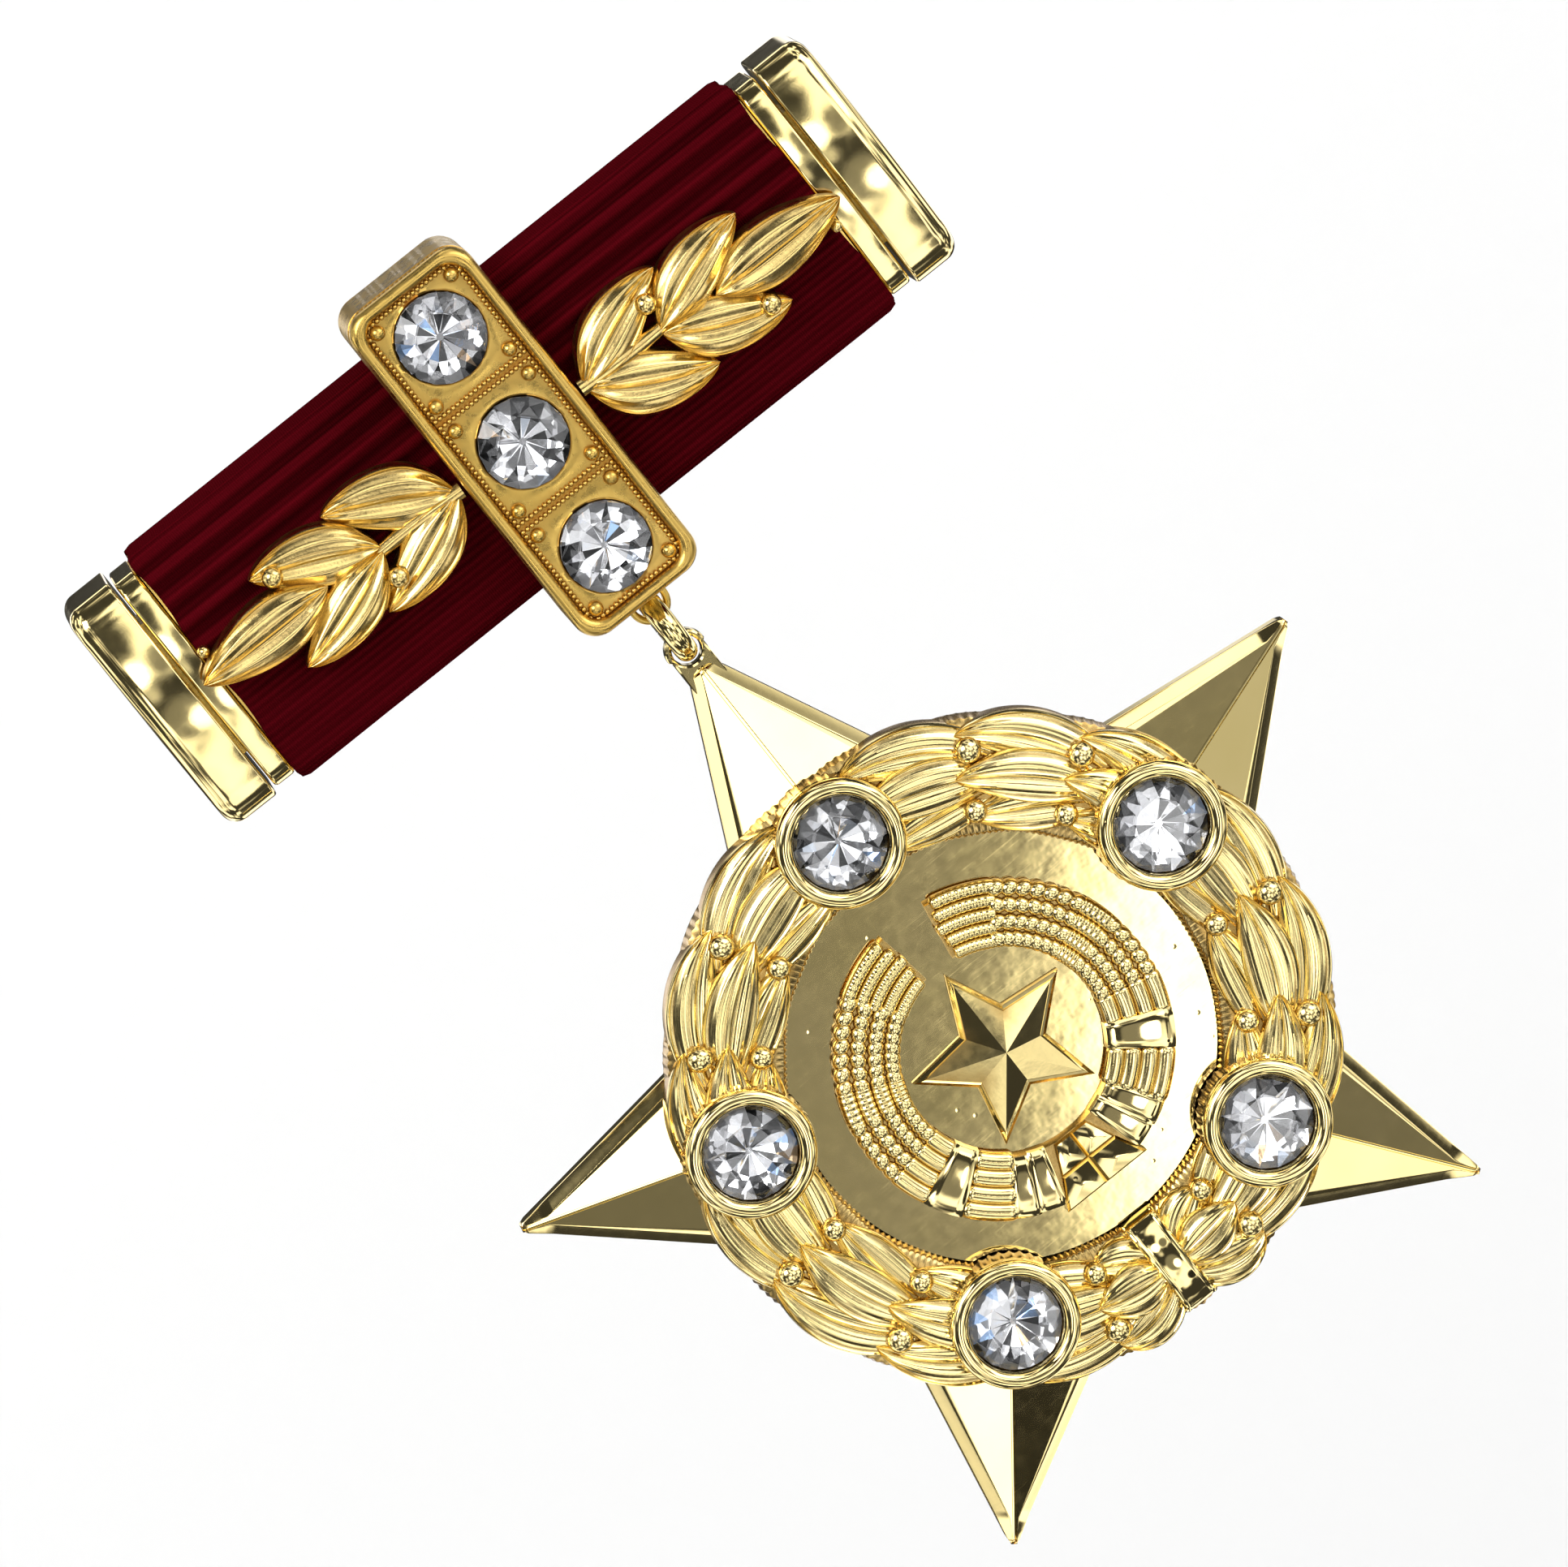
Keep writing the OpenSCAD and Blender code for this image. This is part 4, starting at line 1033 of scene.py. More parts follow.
class MEDAL_OT_bezel_cups(bpy.types.Operator):
    """Builds the five bezel cups with polished rims and scalloped feet"""

    bl_idname = "medal.bezel_cups"
    bl_label = "Bezel Cups"

    def execute(self, context):
        rim_r = 0.38
        middle = BEZEL_R - rim_r
        for number, (x, y) in enumerate(bezel_places(), 1):
            cup = Shape()
            n = 160
            a = np.arange(n) * 2 * math.pi / n
            scallop = 0.07 * np.abs(np.sin(a * 20))
            rings, shade = [], []

            def put(r, h, dark=0.0, notch=0.0):
                radius = r - notch * scallop
                rings.append(np.stack([x + radius * np.cos(a), y + radius * np.sin(a),
                                       np.full(n, h)], 1))
                shade.append(dark)

            # Painted shade: the dark values fall on the cup's scalloped foot and wall, and inside the rim
            # next to the stone.
            put(STONE_R - 0.5, 1.25, 0.9)
            put(BEZEL_R + 0.10, 1.25, 1, 1)
            put(BEZEL_R + 0.10, 2.3, 1, 1)
            put(BEZEL_R + 0.04, 2.75, 0.9, 1)
            put(BEZEL_R - 0.04, 3.0, 0.6, 0.4)
            for t in np.linspace(-0.35, math.pi - 0.25, 18):
                put(middle + rim_r * math.cos(t), BEZEL_TOP - rim_r + rim_r * math.sin(t))
            put(STONE_R + 0.0, BEZEL_TOP - rim_r - 0.12, 0.8)
            put(STONE_R - 0.05, 3.0, 1)
            put(STONE_R - 0.5, 2.4, 1)
            cup.loft(rings + [rings[0]], cavity=shade + [shade[0]])
            fit(cup, f"bezel_rim_{number}", "Mirror gold", "star", 50, f"bezel_cup_{number}")
        return {"FINISHED"}


def cut_stone(name, x, y, girdle, r, crown, depth, seed, body, node):
    """A foiled stone: a clear crown with flat facets over a silvered back with painted reflections."""
    back = girdle - 0.10
    glass = Shape()
    n = 8
    whole = circle(r, 2 * n, x, y)
    points = np.concatenate([lift(whole, back), lift(whole, girdle),
                             lift(circle(r * 0.80, n, x, y), girdle + crown * 0.62),
                             lift(circle(r * 0.60, n, x, y, math.pi / n), girdle + crown)])
    edge, main, table = 2 * n, 4 * n, 5 * n
    faces = [[i, (i + 1) % edge, edge + (i + 1) % edge, edge + i] for i in range(edge)]
    for i in range(n):
        j = (i + 1) % n
        low, mid, far = edge + 2 * i, edge + 2 * i + 1, edge + (2 * i + 2) % edge
        faces += [[low, mid, main + i], [mid, far, main + j], [main + i, mid, table + i],
                  [mid, main + j, table + i], [main + i, table + i, table + (i - 1) % n]]
    faces += [[table + i for i in range(n)], list(range(edge))[::-1]]
    glass.add(points, faces)
    fit(glass, name, "Crystal", body, 1, node)
    stone_foil(name + "_foil", x, y, back - 0.012, r, depth, seed, body)


def stone_foil(name, x, y, rim, r, depth, seed, body):
    """The faceted back of a stone: wedges that fall to a small flat, each painted with its own reflection.
    """
    draw = np.random.default_rng(seed)
    n = settings().facets
    turn = draw.uniform(0, 2 * math.pi)
    flat_r, waist_r, edge_r = 0.16, r * 0.52, r * 0.995
    wave = np.where(np.arange(n) % 2 == 0, 0.0, 0.30) * depth
    wave = wave + draw.uniform(-0.12, 0.12, n) * depth
    waist = lift(circle(waist_r, n, x, y, turn), rim - depth * 0.62)
    waist[:, 2] += wave
    edge = circle(edge_r, n, x, y, turn + math.pi / n)
    points = [lift(circle(flat_r, n, x, y, turn), rim - depth), waist,
              lift(edge, rim), lift(edge, rim - depth * 1.1)]
    faces = [list(range(n))]
    for i in range(n):
        j = (i + 1) % n
        faces += [[i, j, n + i], [j, n + j, n + i], [n + i, n + j, 2 * n + i],
                  [n + j, 2 * n + j, 2 * n + i], [2 * n + i, 2 * n + j, 3 * n + j, 3 * n + i]]
    faces.append([3 * n + i for i in range(n)][::-1])
    silver = Shape()
    silver.add(np.concatenate(points), faces)
    mesh = fit(silver, name, "Foil", body, 1, heal=False).data
    painted_flash = mesh.attributes.new("painted_flash", "FLOAT_COLOR", "CORNER")
    # Painted reflections: bright, dark and grey facets, and a few painted flashes of blue or orange
    tints = np.array([(0.98, 0.98, 0.98), (0.09, 0.09, 0.09), (0.66, 0.66, 0.67), (0.88, 0.88, 0.89),
                      (0.03, 0.03, 0.03), (0.84, 0.91, 1.0), (0.45, 0.65, 0.98), (1.0, 0.70, 0.42)])
    share = [0.34, 0.14, 0.14, 0.20, 0.09, 0.05, 0.025, 0.015]
    values = np.ones((len(mesh.loops), 4), np.float32)
    for polygon in mesh.polygons:
        tint = tints[draw.choice(len(tints), p=share)]
        # The small flat in the middle is always painted bright, as a painted highlight.
        values[list(polygon.loop_indices), :3] = tints[0] if polygon.index == 0 else tint
    painted_flash.data.foreach_set("color", values.ravel())


class MEDAL_OT_star_stones(bpy.types.Operator):
    """Sets the five round stones in the star's bezel cups"""

    bl_idname = "medal.star_stones"
    bl_label = "Star Stones"

    def execute(self, context):
        for number, (x, y) in enumerate(bezel_places(), 1):
            girdle = STAR_BACK - box_mm(f"star_stone_{number}")[0][1] - 0.5
            cut_stone(f"star_stone_cut_{number}", x, y, girdle, STONE_R - 0.03, 0.30, 0.62,
                      40 + number, "star", f"star_stone_{number}")
        return {"FINISHED"}


class MEDAL_OT_jump_ring(bpy.types.Operator):
    """Bends the jump ring from round wire, closed by a fine seam"""

    bl_idname = "medal.jump_ring"
    bl_label = "Jump Ring"

    def execute(self, context):
        ring = Shape()
        n, steps = 24, 120
        rings = []
        for t in np.linspace(math.radians(101), math.radians(460), steps):
            a = np.arange(n) * 2 * math.pi / n
            r = RING_R + RING_WIRE * np.cos(a)
            rings.append(np.stack([RING_WIRE * np.sin(a), -HANG_DEPTH + r * math.sin(t),
                                   RING_Z + r * math.cos(t)], 1))
        ring.loft(rings, start_cap=True, end_cap=True)
        fit(ring, "jump_ring_wire", "Polished gold", "ring", 60, "jump_ring")
        return {"FINISHED"}


def rounded_box(half_w, half_h, r, pitch):
    """A rounded rectangle, anticlockwise, in even steps."""
    path = []
    for cx, cy, start in ((1, -1, -90), (1, 1, 0), (-1, 1, 90), (-1, -1, 180)):
        for a in np.radians(np.linspace(start, start + 90, 12)):
            path.append((cx * (half_w - r) + r * math.cos(a), cy * (half_h - r) + r * math.sin(a)))
    path = np.array(path + path[:1])
    run = np.concatenate([[0], np.cumsum(np.linalg.norm(np.diff(path, axis=0), axis=1))])
    count = int(round(run[-1] / pitch))
    at = np.arange(count) * run[-1] / count
    return np.stack([np.interp(at, run, path[:, 0]), np.interp(at, run, path[:, 1])], 1)


class MEDAL_OT_clasp_box(bpy.types.Operator):
    """Builds the clasp box: rounded rim, milgrained cells, fluted walls and hanging lug"""

    bl_idname = "medal.clasp_box"
    bl_label = "Clasp Box"

    def execute(self, context):
        box = Shape()
        w, h = CLASP_HALF_W, CLASP_HALF
        pitch = settings().milgrain / MM
        base = rounded_box(w, h, 1.1, pitch / 6)
        flute = 0.035 * np.cos(np.arange(len(base)) * 2 * math.pi / 6)

        def ring(by, f, fluted=0.0):
            scale = np.array([(w - by) / w, (h - by) / h])
            spot = base * scale
            out = base / np.linalg.norm(base, axis=1)[:, None]
            return lift(spot + out * (flute * fluted)[:, None], f)

        bed = np.maximum(self.front_of_bar(base[:, 1]), CLASP_REAR)
        bed = np.where(np.abs(base[:, 1]) < BAR_HALF_H - 0.02, bed, CLASP_REAR)
        rows = [ring(0.7, 9.1), ring(0.7, bed), ring(0.06, bed), ring(0, bed + 0.06)]
        # Painted shade: the last number of each row darkens the bed, the fluted walls and the foot of the
        # rim.
        shade = [0.5, 0.5, 0.3, 0.1]
        for by, f, fluted, dark in ((0, 9.72, 0, 0.1), (0.0, 9.80, 0, 0.6), (0.06, 9.84, 0, 0.9),
                                    (0.06, 9.88, 1, 0.6), (0.03, 10.1, 1, 0.2), (0.03, 10.2, 1, 0.3),
                                    (0.07, 10.34, 1, 0.8), (0.07, 10.38, 0, 0.8), (0.0, 10.42, 0, 0.2),
                                    (0.0, 10.52, 0, 0), (0.05, 10.70, 0, 0), (0.12, 10.81, 0, 0),
                                    (0.21, 10.88, 0, 0), (0.31, 10.9, 0, 0), (0.41, 10.87, 0, 0),
                                    (0.50, 10.79, 0, 0), (0.56, 10.66, 0, 0.1), (0.60, 10.5, 0, 0.7),
                                    (0.62, 10.42, 0, 1)):
            rows.append(ring(by, f, fluted))
            shade.append(dark)
        box.loft(rows, cavity=shade, start_cap=True)
        self.cells(box, w - 0.62, h - 0.62, pitch)
        eye_plate(box, -CLASP_HALF - RING_WIRE - 0.25, -CLASP_HALF + 0.5, LUG_R, LUG_R, EYE_R,
                  HANG_DEPTH - 0.4, HANG_DEPTH + 0.4)
        fit(box, "clasp_box_engraved", "Satin gold", "bar", 45, "clasp_box")
        return {"FINISHED"}

    def front_of_bar(self, z):
        """How far forward the ribbon's face stands at a height"""
        line, _, _ = bar_section(1600)
        top = line[(line[:, 1] >= 0) & (line[:, 0] > BAR_BACK + 2)]
        order = np.argsort(top[:, 1])
        return np.interp(np.abs(z), top[order, 1], top[order, 0]) - 0.04

    def cells(self, box, half_w, half_h, pitch):
        """Three sunk cells, each with a milgrain border and a round seat"""
        floor = CLASP_FRONT - 0.48
        step = CLASP_PITCH
        n = 96
        a = -math.pi / 4 + np.arange(n) * 2 * math.pi / n
        for i in (-1, 0, 1):
            centre = i * step
            low = -half_h if i < 0 else (i - 0.5) * step
            high = half_h if i > 0 else (i + 0.5) * step
            edge = []
            for t in a:
                c, s = math.cos(t), math.sin(t)
                room = high - centre if s > 0 else centre - low
                k = min(half_w / max(abs(c), 1e-9), room / max(abs(s), 1e-9))
                edge.append((k * c, centre + k * s))
            edge = np.array(edge)
            seat = circle(CLASP_STONE_R + 0.03, n, 0, centre, -math.pi / 4)
            wide = circle(CLASP_STONE_R + 0.12, n, 0, centre, -math.pi / 4)
            near = edge + (seat - edge) * 0.12
            rings = [lift(edge, floor), lift(near, floor), lift(edge + (wide - edge) * 0.7, floor - 0.03),
                     lift(wide, floor + 0.02), lift(seat, floor - 0.02), lift(seat, floor - 0.5),
                     lift(circle(CLASP_STONE_R * 0.5, n, 0, centre, -math.pi / 4), floor - 1.0)]
            # Painted shade in the cell's corners and down its seat.
            box.loft(rings, end_cap=True, cavity=[1, 0.4, 0.2, 0.1, 0.9, 1, 1])
            near_w = half_w - 0.12
            low_line = low + (0.12 if i < 0 else 0.17)
            high_line = high - (0.12 if i > 0 else 0.17)
            self.milgrain(box, near_w, low_line, high_line, floor, pitch)

    def milgrain(self, box, half_w, low, high, floor, pitch):
        """A border of tiny beads round one cell"""
        size = pitch * 0.5
        across = max(2, int(round(2 * half_w / pitch)))
        along = max(2, int(round((high - low) / pitch)))
        spots = [(-half_w + 2 * half_w * k / across, z) for k in range(across + 1) for z in (low, high)]
        spots += [(x, low + (high - low) * k / along) for k in range(1, along) for x in (-half_w, half_w)]
        for x, z in spots:
            blob(box, x, z, floor + 0.05, size, 1.15, n=10, sink=0.12, edge=1.2)


class MEDAL_OT_clasp_beads(bpy.types.Operator):
    """Raises the four bead grains that hold each clasp stone"""

    bl_idname = "medal.clasp_beads"
    bl_label = "Clasp Beads"

    def execute(self, context):
        beads = Shape()
        bead_r, off_edge = 0.33, 0.65
        high = reach("clasp_beads")
        x = high[0] - bead_r
        edges = [CLASP_PITCH / 2 - off_edge, CLASP_PITCH / 2 + off_edge, high[2] - bead_r]
        for side in (-1, 1):
            for z in edges + [-e for e in edges]:
                blob(beads, side * x, z, CLASP_FRONT - 0.40, bead_r, 1.0, n=24, sink=0.15, edge=0.8)
        fit(beads, "clasp_bead_grains", "Satin gold", "bar", 60, "clasp_beads")
        return {"FINISHED"}


class MEDAL_OT_clasp_stones(bpy.types.Operator):
    """Sets the three round stones in the clasp box"""

    bl_idname = "medal.clasp_stones"
    bl_label = "Clasp Stones"

    def execute(self, context):
        for index, name in ((1, "top"), (0, "middle"), (-1, "bottom")):
            girdle = -box_mm(f"clasp_stone_{name}")[0][1] - 0.45
            cut_stone(f"clasp_stone_cut_{name}", 0, index * CLASP_PITCH, girdle, CLASP_STONE_R,
                      0.30, 0.60, 50 + index, "bar", f"clasp_stone_{name}")
        return {"FINISHED"}


SPRAY_LEAVES = ((10.7, 0.3, 0, 6.9, 2.6, 0.30), (7.1, 1.35, 24, 5.9, 2.5, 0.16),
                (3.0, 1.35, 28, 6.0, 2.6, 0.02), (7.3, -0.95, -19, 6.0, 2.4, 0.20),
                (3.1, -1.15, -22, 6.0, 2.4, 0.06))
SPRAY_BERRIES = ((8.9, 2.05), (4.6, -1.25))


def beside_clasp(side, points):
    """Moves points from a spray's own frame out to its side of the clasp box."""
    p = np.array(points, float)
    out = SPRAY_START + p[:, 0]
    return np.stack([side * out, p[:, 1] * (1 if side < 0 else -1), p[:, 2]], 1)


class MEDAL_OT_laurel_sprays(bpy.types.Operator):
    """Builds the two laurel sprays that run out from the clasp box"""

    bl_idname = "medal.laurel_sprays"
    bl_label = "Laurel Sprays"

    def execute(self, context):
        for side, name in ((-1, "left"), (1, "right")):
            spray = Shape()
            back = -box_mm(f"spray_{name}")[1][1]
            for out, up, turn, long, wide, raised in SPRAY_LEAVES[::-1]:
                a = math.radians(turn)
                t = np.linspace(-0.5, 0.5, 34)
                run = t * long * SPRAY_SCALE
                bend = 0.25 * (1 - (2 * t) ** 2) * (1 if turn > 0 else -1 if turn < 0 else 0)
                axis = np.stack([out * SPRAY_SCALE + run * math.cos(a) - bend * math.sin(a),
                                 up + run * math.sin(a) + bend * math.cos(a)], 1)
                axis[:, 0] = np.maximum(axis[:, 0], 0.02)
                slope = 0.30 - axis[:, 1] ** 2 * 0.06
                leaf(spray, axis, wide / 2 * 1.1, back + 0.36 + raised + slope * 0.6, back, 1.45,
                     lines=0.004)
            x = np.linspace(0.1, 11.5 * SPRAY_SCALE, 40)
            stem = np.column_stack([x, 0.12 * np.sin(x * 0.5) - 0.1, np.full(40, back + 0.42)])
            # A little painted shade all along the stem.
            tube(spray, stem, np.linspace(0.42, 0.2, 40), 14, cavity=0.3)
            blob(spray, 13.25 * SPRAY_SCALE, 1.30, back + 0.3, 0.27, 1.0, n=16, sink=0.3, edge=0.5)
            spray.points = [beside_clasp(side, p) for p in spray.points]
            fit(spray, f"laurel_spray_{name}", "Spray gold", "bar", 50, f"spray_{name}")
        return {"FINISHED"}


class MEDAL_OT_spray_berries(bpy.types.Operator):
    """Sets the round berries on the laurel sprays"""

    bl_idname = "medal.spray_berries"
    bl_label = "Spray Berries"

    def execute(self, context):
        berries = Shape()
        back = -box_mm("spray_berries")[1][1] - 0.45
        for side in (-1, 1):
            for out, up in SPRAY_BERRIES:
                at = beside_clasp(side, [(out * SPRAY_SCALE, up, 0)])[0]
                blob(berries, at[0], at[1], back + 0.85, 0.47, 0.95, n=28, sink=0.8, edge=0.7)
        fit(berries, "spray_berries_round", "Spray gold", "bar", 60, "spray_berries")
        return {"FINISHED"}


class MEDAL_OT_ribbon(bpy.types.Operator):
    """Wraps the ribbed ribbon round the bar, one tail over each edge of the back"""

    bl_idname = "medal.ribbon"
    bl_label = "Ribbon"

    def execute(self, context):
        cloth = Shape()
        s = settings()
        count, along, tail = 700, 97, 1.0
        line, normal, run = bar_section(count, 0.0, tail)
        inner, _, _ = bar_section(count, 0.34, tail)
        cord = np.abs(np.sin(np.pi * run / 0.34)) ** 0.8
        rng = np.random.default_rng(7)
        phase = rng.uniform(0, 6.28, 4)
        rings, weave = [], []
        for x in np.linspace(-BAR_HALF_W, BAR_HALF_W, along):
            slow = np.sin(run * 2 * math.pi / 1.15 + 0.35 * math.sin(x * 0.23 + phase[0]))
            front = np.clip((line[:, 0] - BAR_BACK - 3.0) / 2.0, 0, 1)
            upper = np.clip((line[:, 1] + 1.0) / 3.0, 0, 1)
            swell = 0.15 * slow * front * upper + 0.04 * slow * front
            puff = 0.03 * math.sin(x * 0.9 + phase[1]) * np.sin(run * 0.8 + phase[2])
            out = s.cord_height / MM * (cord - 1.0) + swell + puff * front - 0.11
            outer = line + normal * out[:, None]
            end = max(0.0, abs(x) - (BAR_HALF_W - 0.25)) / 0.25
            outer = outer - normal * (0.10 * end**2)
            ragged = 0.10 * np.sin(run * 1.1 + phase[3]) * np.sign(x) * (abs(x) / BAR_HALF_W) ** 8
            skin = np.concatenate([outer, inner[::-1]])
            rag = np.concatenate([ragged, ragged[::-1]])
            rings.append(np.stack([np.clip(x + rag, -16.03, 16.03), skin[:, 1], skin[:, 0]], 1))
            # The swell is kept in the weave attribute, and on it the ribbon's colour paints light on the
            # crests and shade in the troughs.
            fold = slow * front * (0.25 + 0.75 * upper)
            weave.append(np.stack([np.full(2 * count, x), np.concatenate([run, run[::-1]]),
                                   np.concatenate([fold, fold[::-1]])], 1))
        cloth.loft(rings, start_cap=False, end_cap=False)
        n = 2 * count
        for first in (0, (along - 1) * n):
            faces = [[first + i, first + i + 1, first + n - 2 - i, first + n - 1 - i]
                     for i in range(count - 1)]
            cloth.faces += faces
        piece = fit(cloth, "ribbon_cloth", "Grosgrain", "bar", 0, "ribbon", heal=False)
        store = piece.data.attributes.new("weave", "FLOAT_VECTOR", "POINT")
        store.data.foreach_set("vector", np.concatenate(weave).astype(np.float32).ravel())
        work = bmesh.new()
        work.from_mesh(piece.data)
        bmesh.ops.recalc_face_normals(work, faces=work.faces)
        work.to_mesh(piece.data)
        work.free()
        return {"FINISHED"}


class MEDAL_OT_end_fittings(bpy.types.Operator):
    """Builds the polished collar and cap at each end of the bar"""

    bl_idname = "medal.end_fittings"
    bl_label = "Collars and Caps"

    def execute(self, context):
        for side, name in ((-1, "left"), (1, "right")):
            low, high = box_mm(f"end_collar_{name}")
            start, end = sorted((abs(low[0]), abs(high[0])))
            self.fitting(side, f"end_collar_polished_{name}", f"end_collar_{name}", start, end,
                         0.5, 0.16, 0.16)
            low, high = box_mm(f"end_cap_{name}")
            start, end = sorted((abs(low[0]), abs(high[0])))
            self.fitting(side, f"end_cap_polished_{name}", f"end_cap_{name}", start, end,
                         0.25, 0.12, 0.75)
        return {"FINISHED"}

    def fitting(self, side, name, node, start, end, inward, near_round, far_round):
        """One solid end piece with rounded edges"""
        shell = Shape()
        steps = [(start + near_round * (1 - math.cos(t)), near_round * (1 - math.sin(t)))
                 for t in np.linspace(0, math.pi / 2, 6)]
        steps += [(end - far_round * (1 - math.sin(t)), far_round * (1 - math.cos(t)))
                  for t in np.linspace(0, math.pi / 2 * 0.98, 12)]
        line, _, _ = bar_section(240)
        rings = [self.shrunk(line[:-1], inward + more, side * x) for x, more in steps]
        last = rings[-1]
        for share in (0.85, 0.85 * 0.5, 0.85 * 0.15):
            ring = last.mean(0) + (last - last.mean(0)) * share
            ring[:, 0] = side * end
            rings.append(ring)
        shell.loft(rings, start_cap=True, end_cap=True)
        fit(shell, name, "Cap gold", "bar", 40, node)

    def shrunk(self, line, by, x):
        """The bar's section moved inwards by one distance"""
        middle = np.array([(BAR_BACK + BAR_FRONT) / 2, 0.0])
        half = np.array([(BAR_FRONT - BAR_BACK) / 2, BAR_HALF_H])
        spot = middle + (line - middle) * (half - by) / half
        sides = spot[:, 1] / BAR_HALF_H
        front = np.clip((spot[:, 0] - middle[0]) / half[0], 0, 1)
        depth = spot[:, 0] - 0.5 * sides**2 * front
        return np.stack([np.full(len(spot), x), spot[:, 1], depth], 1)


class MEDAL_OT_plain_parts(bpy.types.Operator):
    """Finishes the parts that keep their CAD shape: the field, the bar's back and the brooch"""

    bl_idname = "medal.plain_parts"
    bl_label = "Field, Back and Brooch"

    def execute(self, context):
        finishes = {
            "Mirror gold": ("field_disc",),
            "Brooch gold": ("back_plate", "hinge_bracket", "catch_housing", "catch_rotor",
                            "fixing_posts", "bar_core"),
            "Pin steel": ("brooch_pin", "hinge_rivet"),
        }
        for kind, names in finishes.items():
            for name in names:
                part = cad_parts[name]
                for slot in part.material_slots:
                    slot.material = material(kind)
        return {"FINISHED"}


class MEDAL_OT_stage(bpy.types.Operator):
    """Sets up the pale floor and wall, the studio light and the camera"""

    bl_idname = "medal.stage"
    bl_label = "Stage"

    def execute(self, context):
        self.backdrop()
        self.sky(context)
        self.lamps(context)
        self.camera(context)
        return {"FINISHED"}

    def backdrop(self):
        """A pale sweep far behind and below the medal"""
        g = Graph(bpy.data.materials.new("Pale paper"))
        cloud = g.noise(g.millimetres(), 0.004, 3)
        tone = g.mix(cloud, (0.93, 0.93, 0.93, 1), (0.96, 0.96, 0.955, 1))
        paper = g.finish(**{"Base Color": tone, "Roughness": 0.9})
        sweep = Shape()
        path = [(-250, -330), (500, -330)]
        for t in np.linspace(0, math.pi / 2, 16):
            path.append((700 + 300 * math.sin(t), -30 - 300 * math.cos(t)))
        path.append((1000, 1800))
        rings = [[(x, y, z) for x in (-2200, 2200)] for y, z in path]
        sweep.loft(rings, closed=False)
        paper_sweep = sweep.make("backdrop", paper, as_is, 60, heal=False)
        paper_sweep.visible_glossy = False

    def sky(self, context):
        """Soft light all round, with dark cards where the bright metal needs an edge"""
        world = bpy.data.worlds.new("Studio")
        context.scene.world = world
        g = Graph(world)
        place = g.node("TexCoord").outputs["Generated"]
        level = g.remap(g.noise(place, 2.9, 1.5), 0.475, 0.60, 0.06, 2.35, "SMOOTHSTEP")
        for facing, spread, edge, light in self.cards():
            near = g.node("VectorMath", {0: place, 1: facing}, operation="DOT_PRODUCT").outputs["Value"]
            inside = g.remap(near, math.cos(math.radians(spread + edge)),
                             math.cos(math.radians(spread)), 0, 1, "SMOOTHSTEP")
            level = g.node("Mix", {0: inside, 2: level, 3: light}, data_type="FLOAT").outputs[0]
        soft = g.node("Background", {"Strength": g.math("MULTIPLY", level, settings().light)})
        plain = g.node("Background", {"Strength": 1.0})
        seen = g.node("LightPath").outputs["Is Camera Ray"]
        mix = g.node("MixShader", {0: seen, 1: soft.outputs[0], 2: plain.outputs[0]})
        g.node("OutputWorld", {"Surface": mix.outputs[0]})

    def cards(self):
        """Bright and dark cards, each standing where one facet of the star mirrors it"""
        back, level, _ = view_axes()
        found = []
        for arm, lights in enumerate(FACET_LIGHT):
            turn = math.radians(-72 * arm)
            for side, light in zip((-1, 1), lights):
                across, rise = side * FACET_FALL[0], FACET_FALL[1]
                x = across * math.cos(turn) - rise * math.sin(turn)
                up = across * math.sin(turn) + rise * math.cos(turn)
                normal = Vector((x, -1, up)).normalized()
                spot = Vector((side * 1.6, 0, 17.5))
                spot = Vector((spot.x * math.cos(turn) - spot.z * math.sin(turn), STAR_BACK - 2,
                               STAR_Z + spot.x * math.sin(turn) + spot.z * math.cos(turn)))
                found.append((self.mirrored(spot, normal, back), 4.2, 1.6, light))
        field = self.mirrored(Vector((0, STAR_BACK, STAR_Z)), Vector((0, -1, 0)), back)
        found.append((field, 7.0, 3.0, FIELD_LIGHT[0]))
        bright = (field + level * math.tan(math.radians(5.6))).normalized()
        found.append((bright, 4.4, 0.5, FIELD_LIGHT[1]))
        return found[-2:] + found[:-2]

    def mirrored(self, spot, normal, back):
        """The way in which the camera's view of a spot is mirrored"""
        eye = Vector(CAMERA_TARGET) + back * CAMERA_DISTANCE / MM
        return (spot - eye).normalized().reflect(normal)

    def lamps(self, context):
        """Two large soft lamps"""
        for name, place, size, power in (("key", (-0.45, -0.75, 0.75), 0.5, 7.0),
                                         ("fill", (0.8, -0.55, 0.35), 0.6, 3.0)):
            light = bpy.data.lights.new(name, "AREA")
            light.size = size
            light.energy = power * settings().light
            lamp = bpy.data.objects.new(name, light)
            lamp.location = place
            lamp.rotation_euler = (Vector((0, 0, -0.02)) - Vector(place)).to_track_quat("-Z", "Y").to_euler()
            context.scene.collection.objects.link(lamp)

    def camera(self, context):
        """A long lens, turned with the medal lying askew in the view"""
        data = bpy.data.cameras.new("camera")
        camera = bpy.data.objects.new("camera", data)
        back, level, upright = view_axes()
        place = Vector(CAMERA_TARGET) * MM + back * CAMERA_DISTANCE
        camera.matrix_world = Matrix((level, upright, back)).transposed().to_4x4()
        camera.matrix_world.translation = place
        data.sensor_width = 36
        data.lens = CAMERA_LENS
        data.clip_start = 0.01
        data.clip_end = 20
        context.scene.collection.objects.link(camera)
        context.scene.camera = camera
        context.scene.view_settings.view_transform = "Standard"


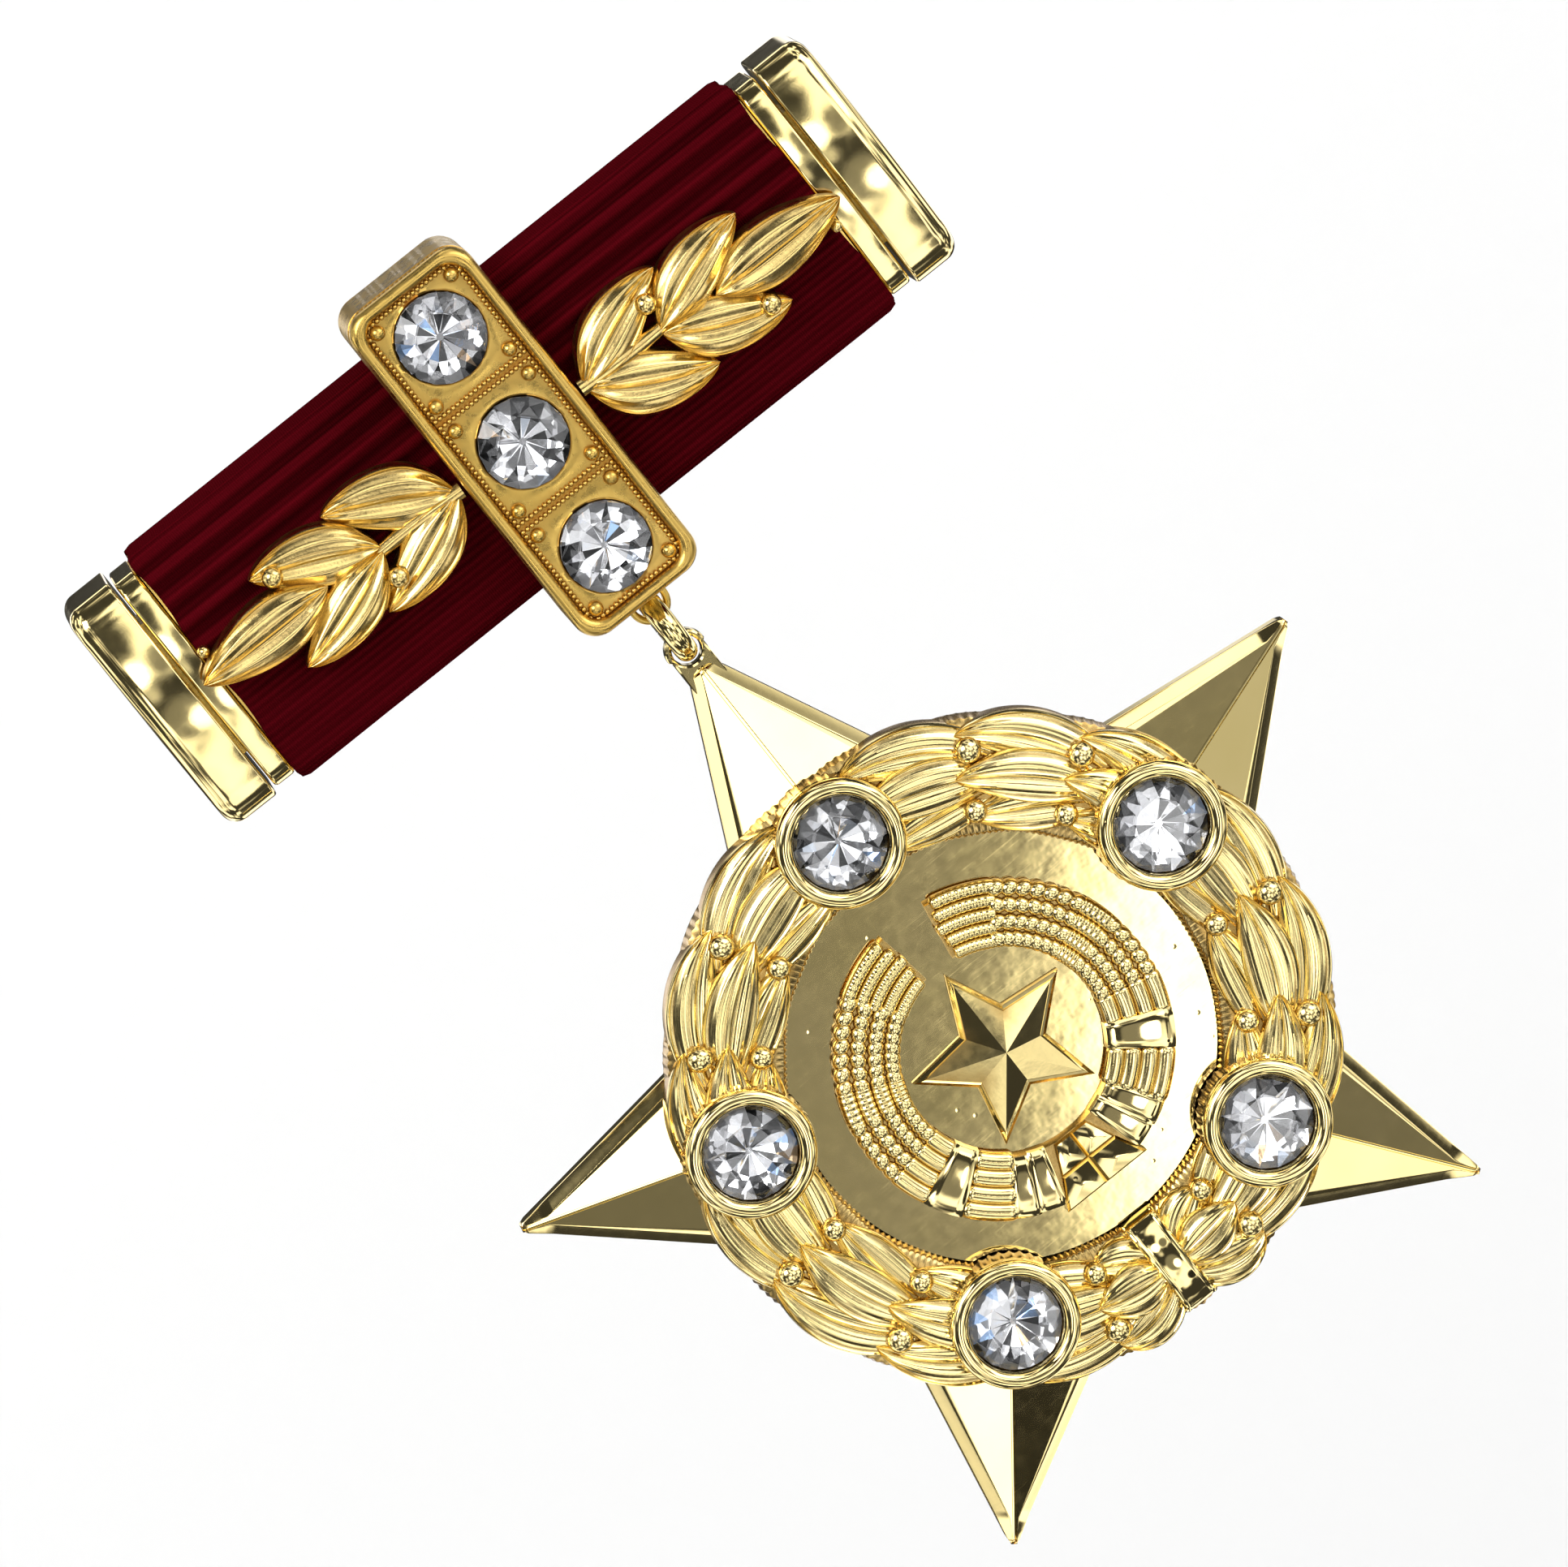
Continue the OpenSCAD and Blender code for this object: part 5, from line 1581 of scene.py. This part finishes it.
def view_axes():
    """The camera's own axes: backwards, to its right and upwards."""
    azimuth, elevation, roll = (math.radians(v) for v in CAMERA_TURN)
    back = Vector((math.sin(azimuth) * math.cos(elevation),
                   -math.cos(azimuth) * math.cos(elevation), math.sin(elevation)))
    right = Vector((math.cos(azimuth), math.sin(azimuth), 0))
    up = back.cross(right)
    level = right * math.cos(roll) + up * math.sin(roll)
    return back, level, back.cross(level)


PIECES = (
    MEDAL_OT_star_plate, MEDAL_OT_laurel_wreath, MEDAL_OT_wreath_berries, MEDAL_OT_wreath_tie,
    MEDAL_OT_grain_wreath, MEDAL_OT_grain_bands, MEDAL_OT_centre_device, MEDAL_OT_bezel_cups,
    MEDAL_OT_star_stones, MEDAL_OT_jump_ring, MEDAL_OT_clasp_box, MEDAL_OT_clasp_beads,
    MEDAL_OT_clasp_stones, MEDAL_OT_laurel_sprays, MEDAL_OT_spray_berries, MEDAL_OT_ribbon,
    MEDAL_OT_end_fittings, MEDAL_OT_plain_parts, MEDAL_OT_stage,
)


class MEDAL_PT_build(bpy.types.Panel):
    """Lists the medal's settings and pieces"""

    bl_idname = "MEDAL_PT_build"
    bl_label = "Jewelled Star Medal"
    bl_space_type = "VIEW_3D"
    bl_region_type = "UI"
    bl_category = "Medal"

    def draw(self, context):
        for name in MedalSettings.__annotations__:
            self.layout.prop(context.scene.medal_settings, name)
        for piece in PIECES:
            self.layout.operator(piece.bl_idname)


CLASSES = (MedalSettings, *PIECES, MEDAL_PT_build)


def register():
    """Adds the classes and the scene's settings."""
    for cls in CLASSES:
        bpy.utils.register_class(cls)
    bpy.types.Scene.medal_settings = bpy.props.PointerProperty(type=MedalSettings)


def unregister():
    """Takes them away again."""
    del bpy.types.Scene.medal_settings
    for cls in reversed(CLASSES):
        bpy.utils.unregister_class(cls)


def main():
    """Builds every piece in order."""
    register()
    for piece in PIECES:
        group, name = piece.bl_idname.split(".")
        getattr(getattr(bpy.ops, group), name)()
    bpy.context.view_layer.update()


if __name__ == "__main__":
    main()
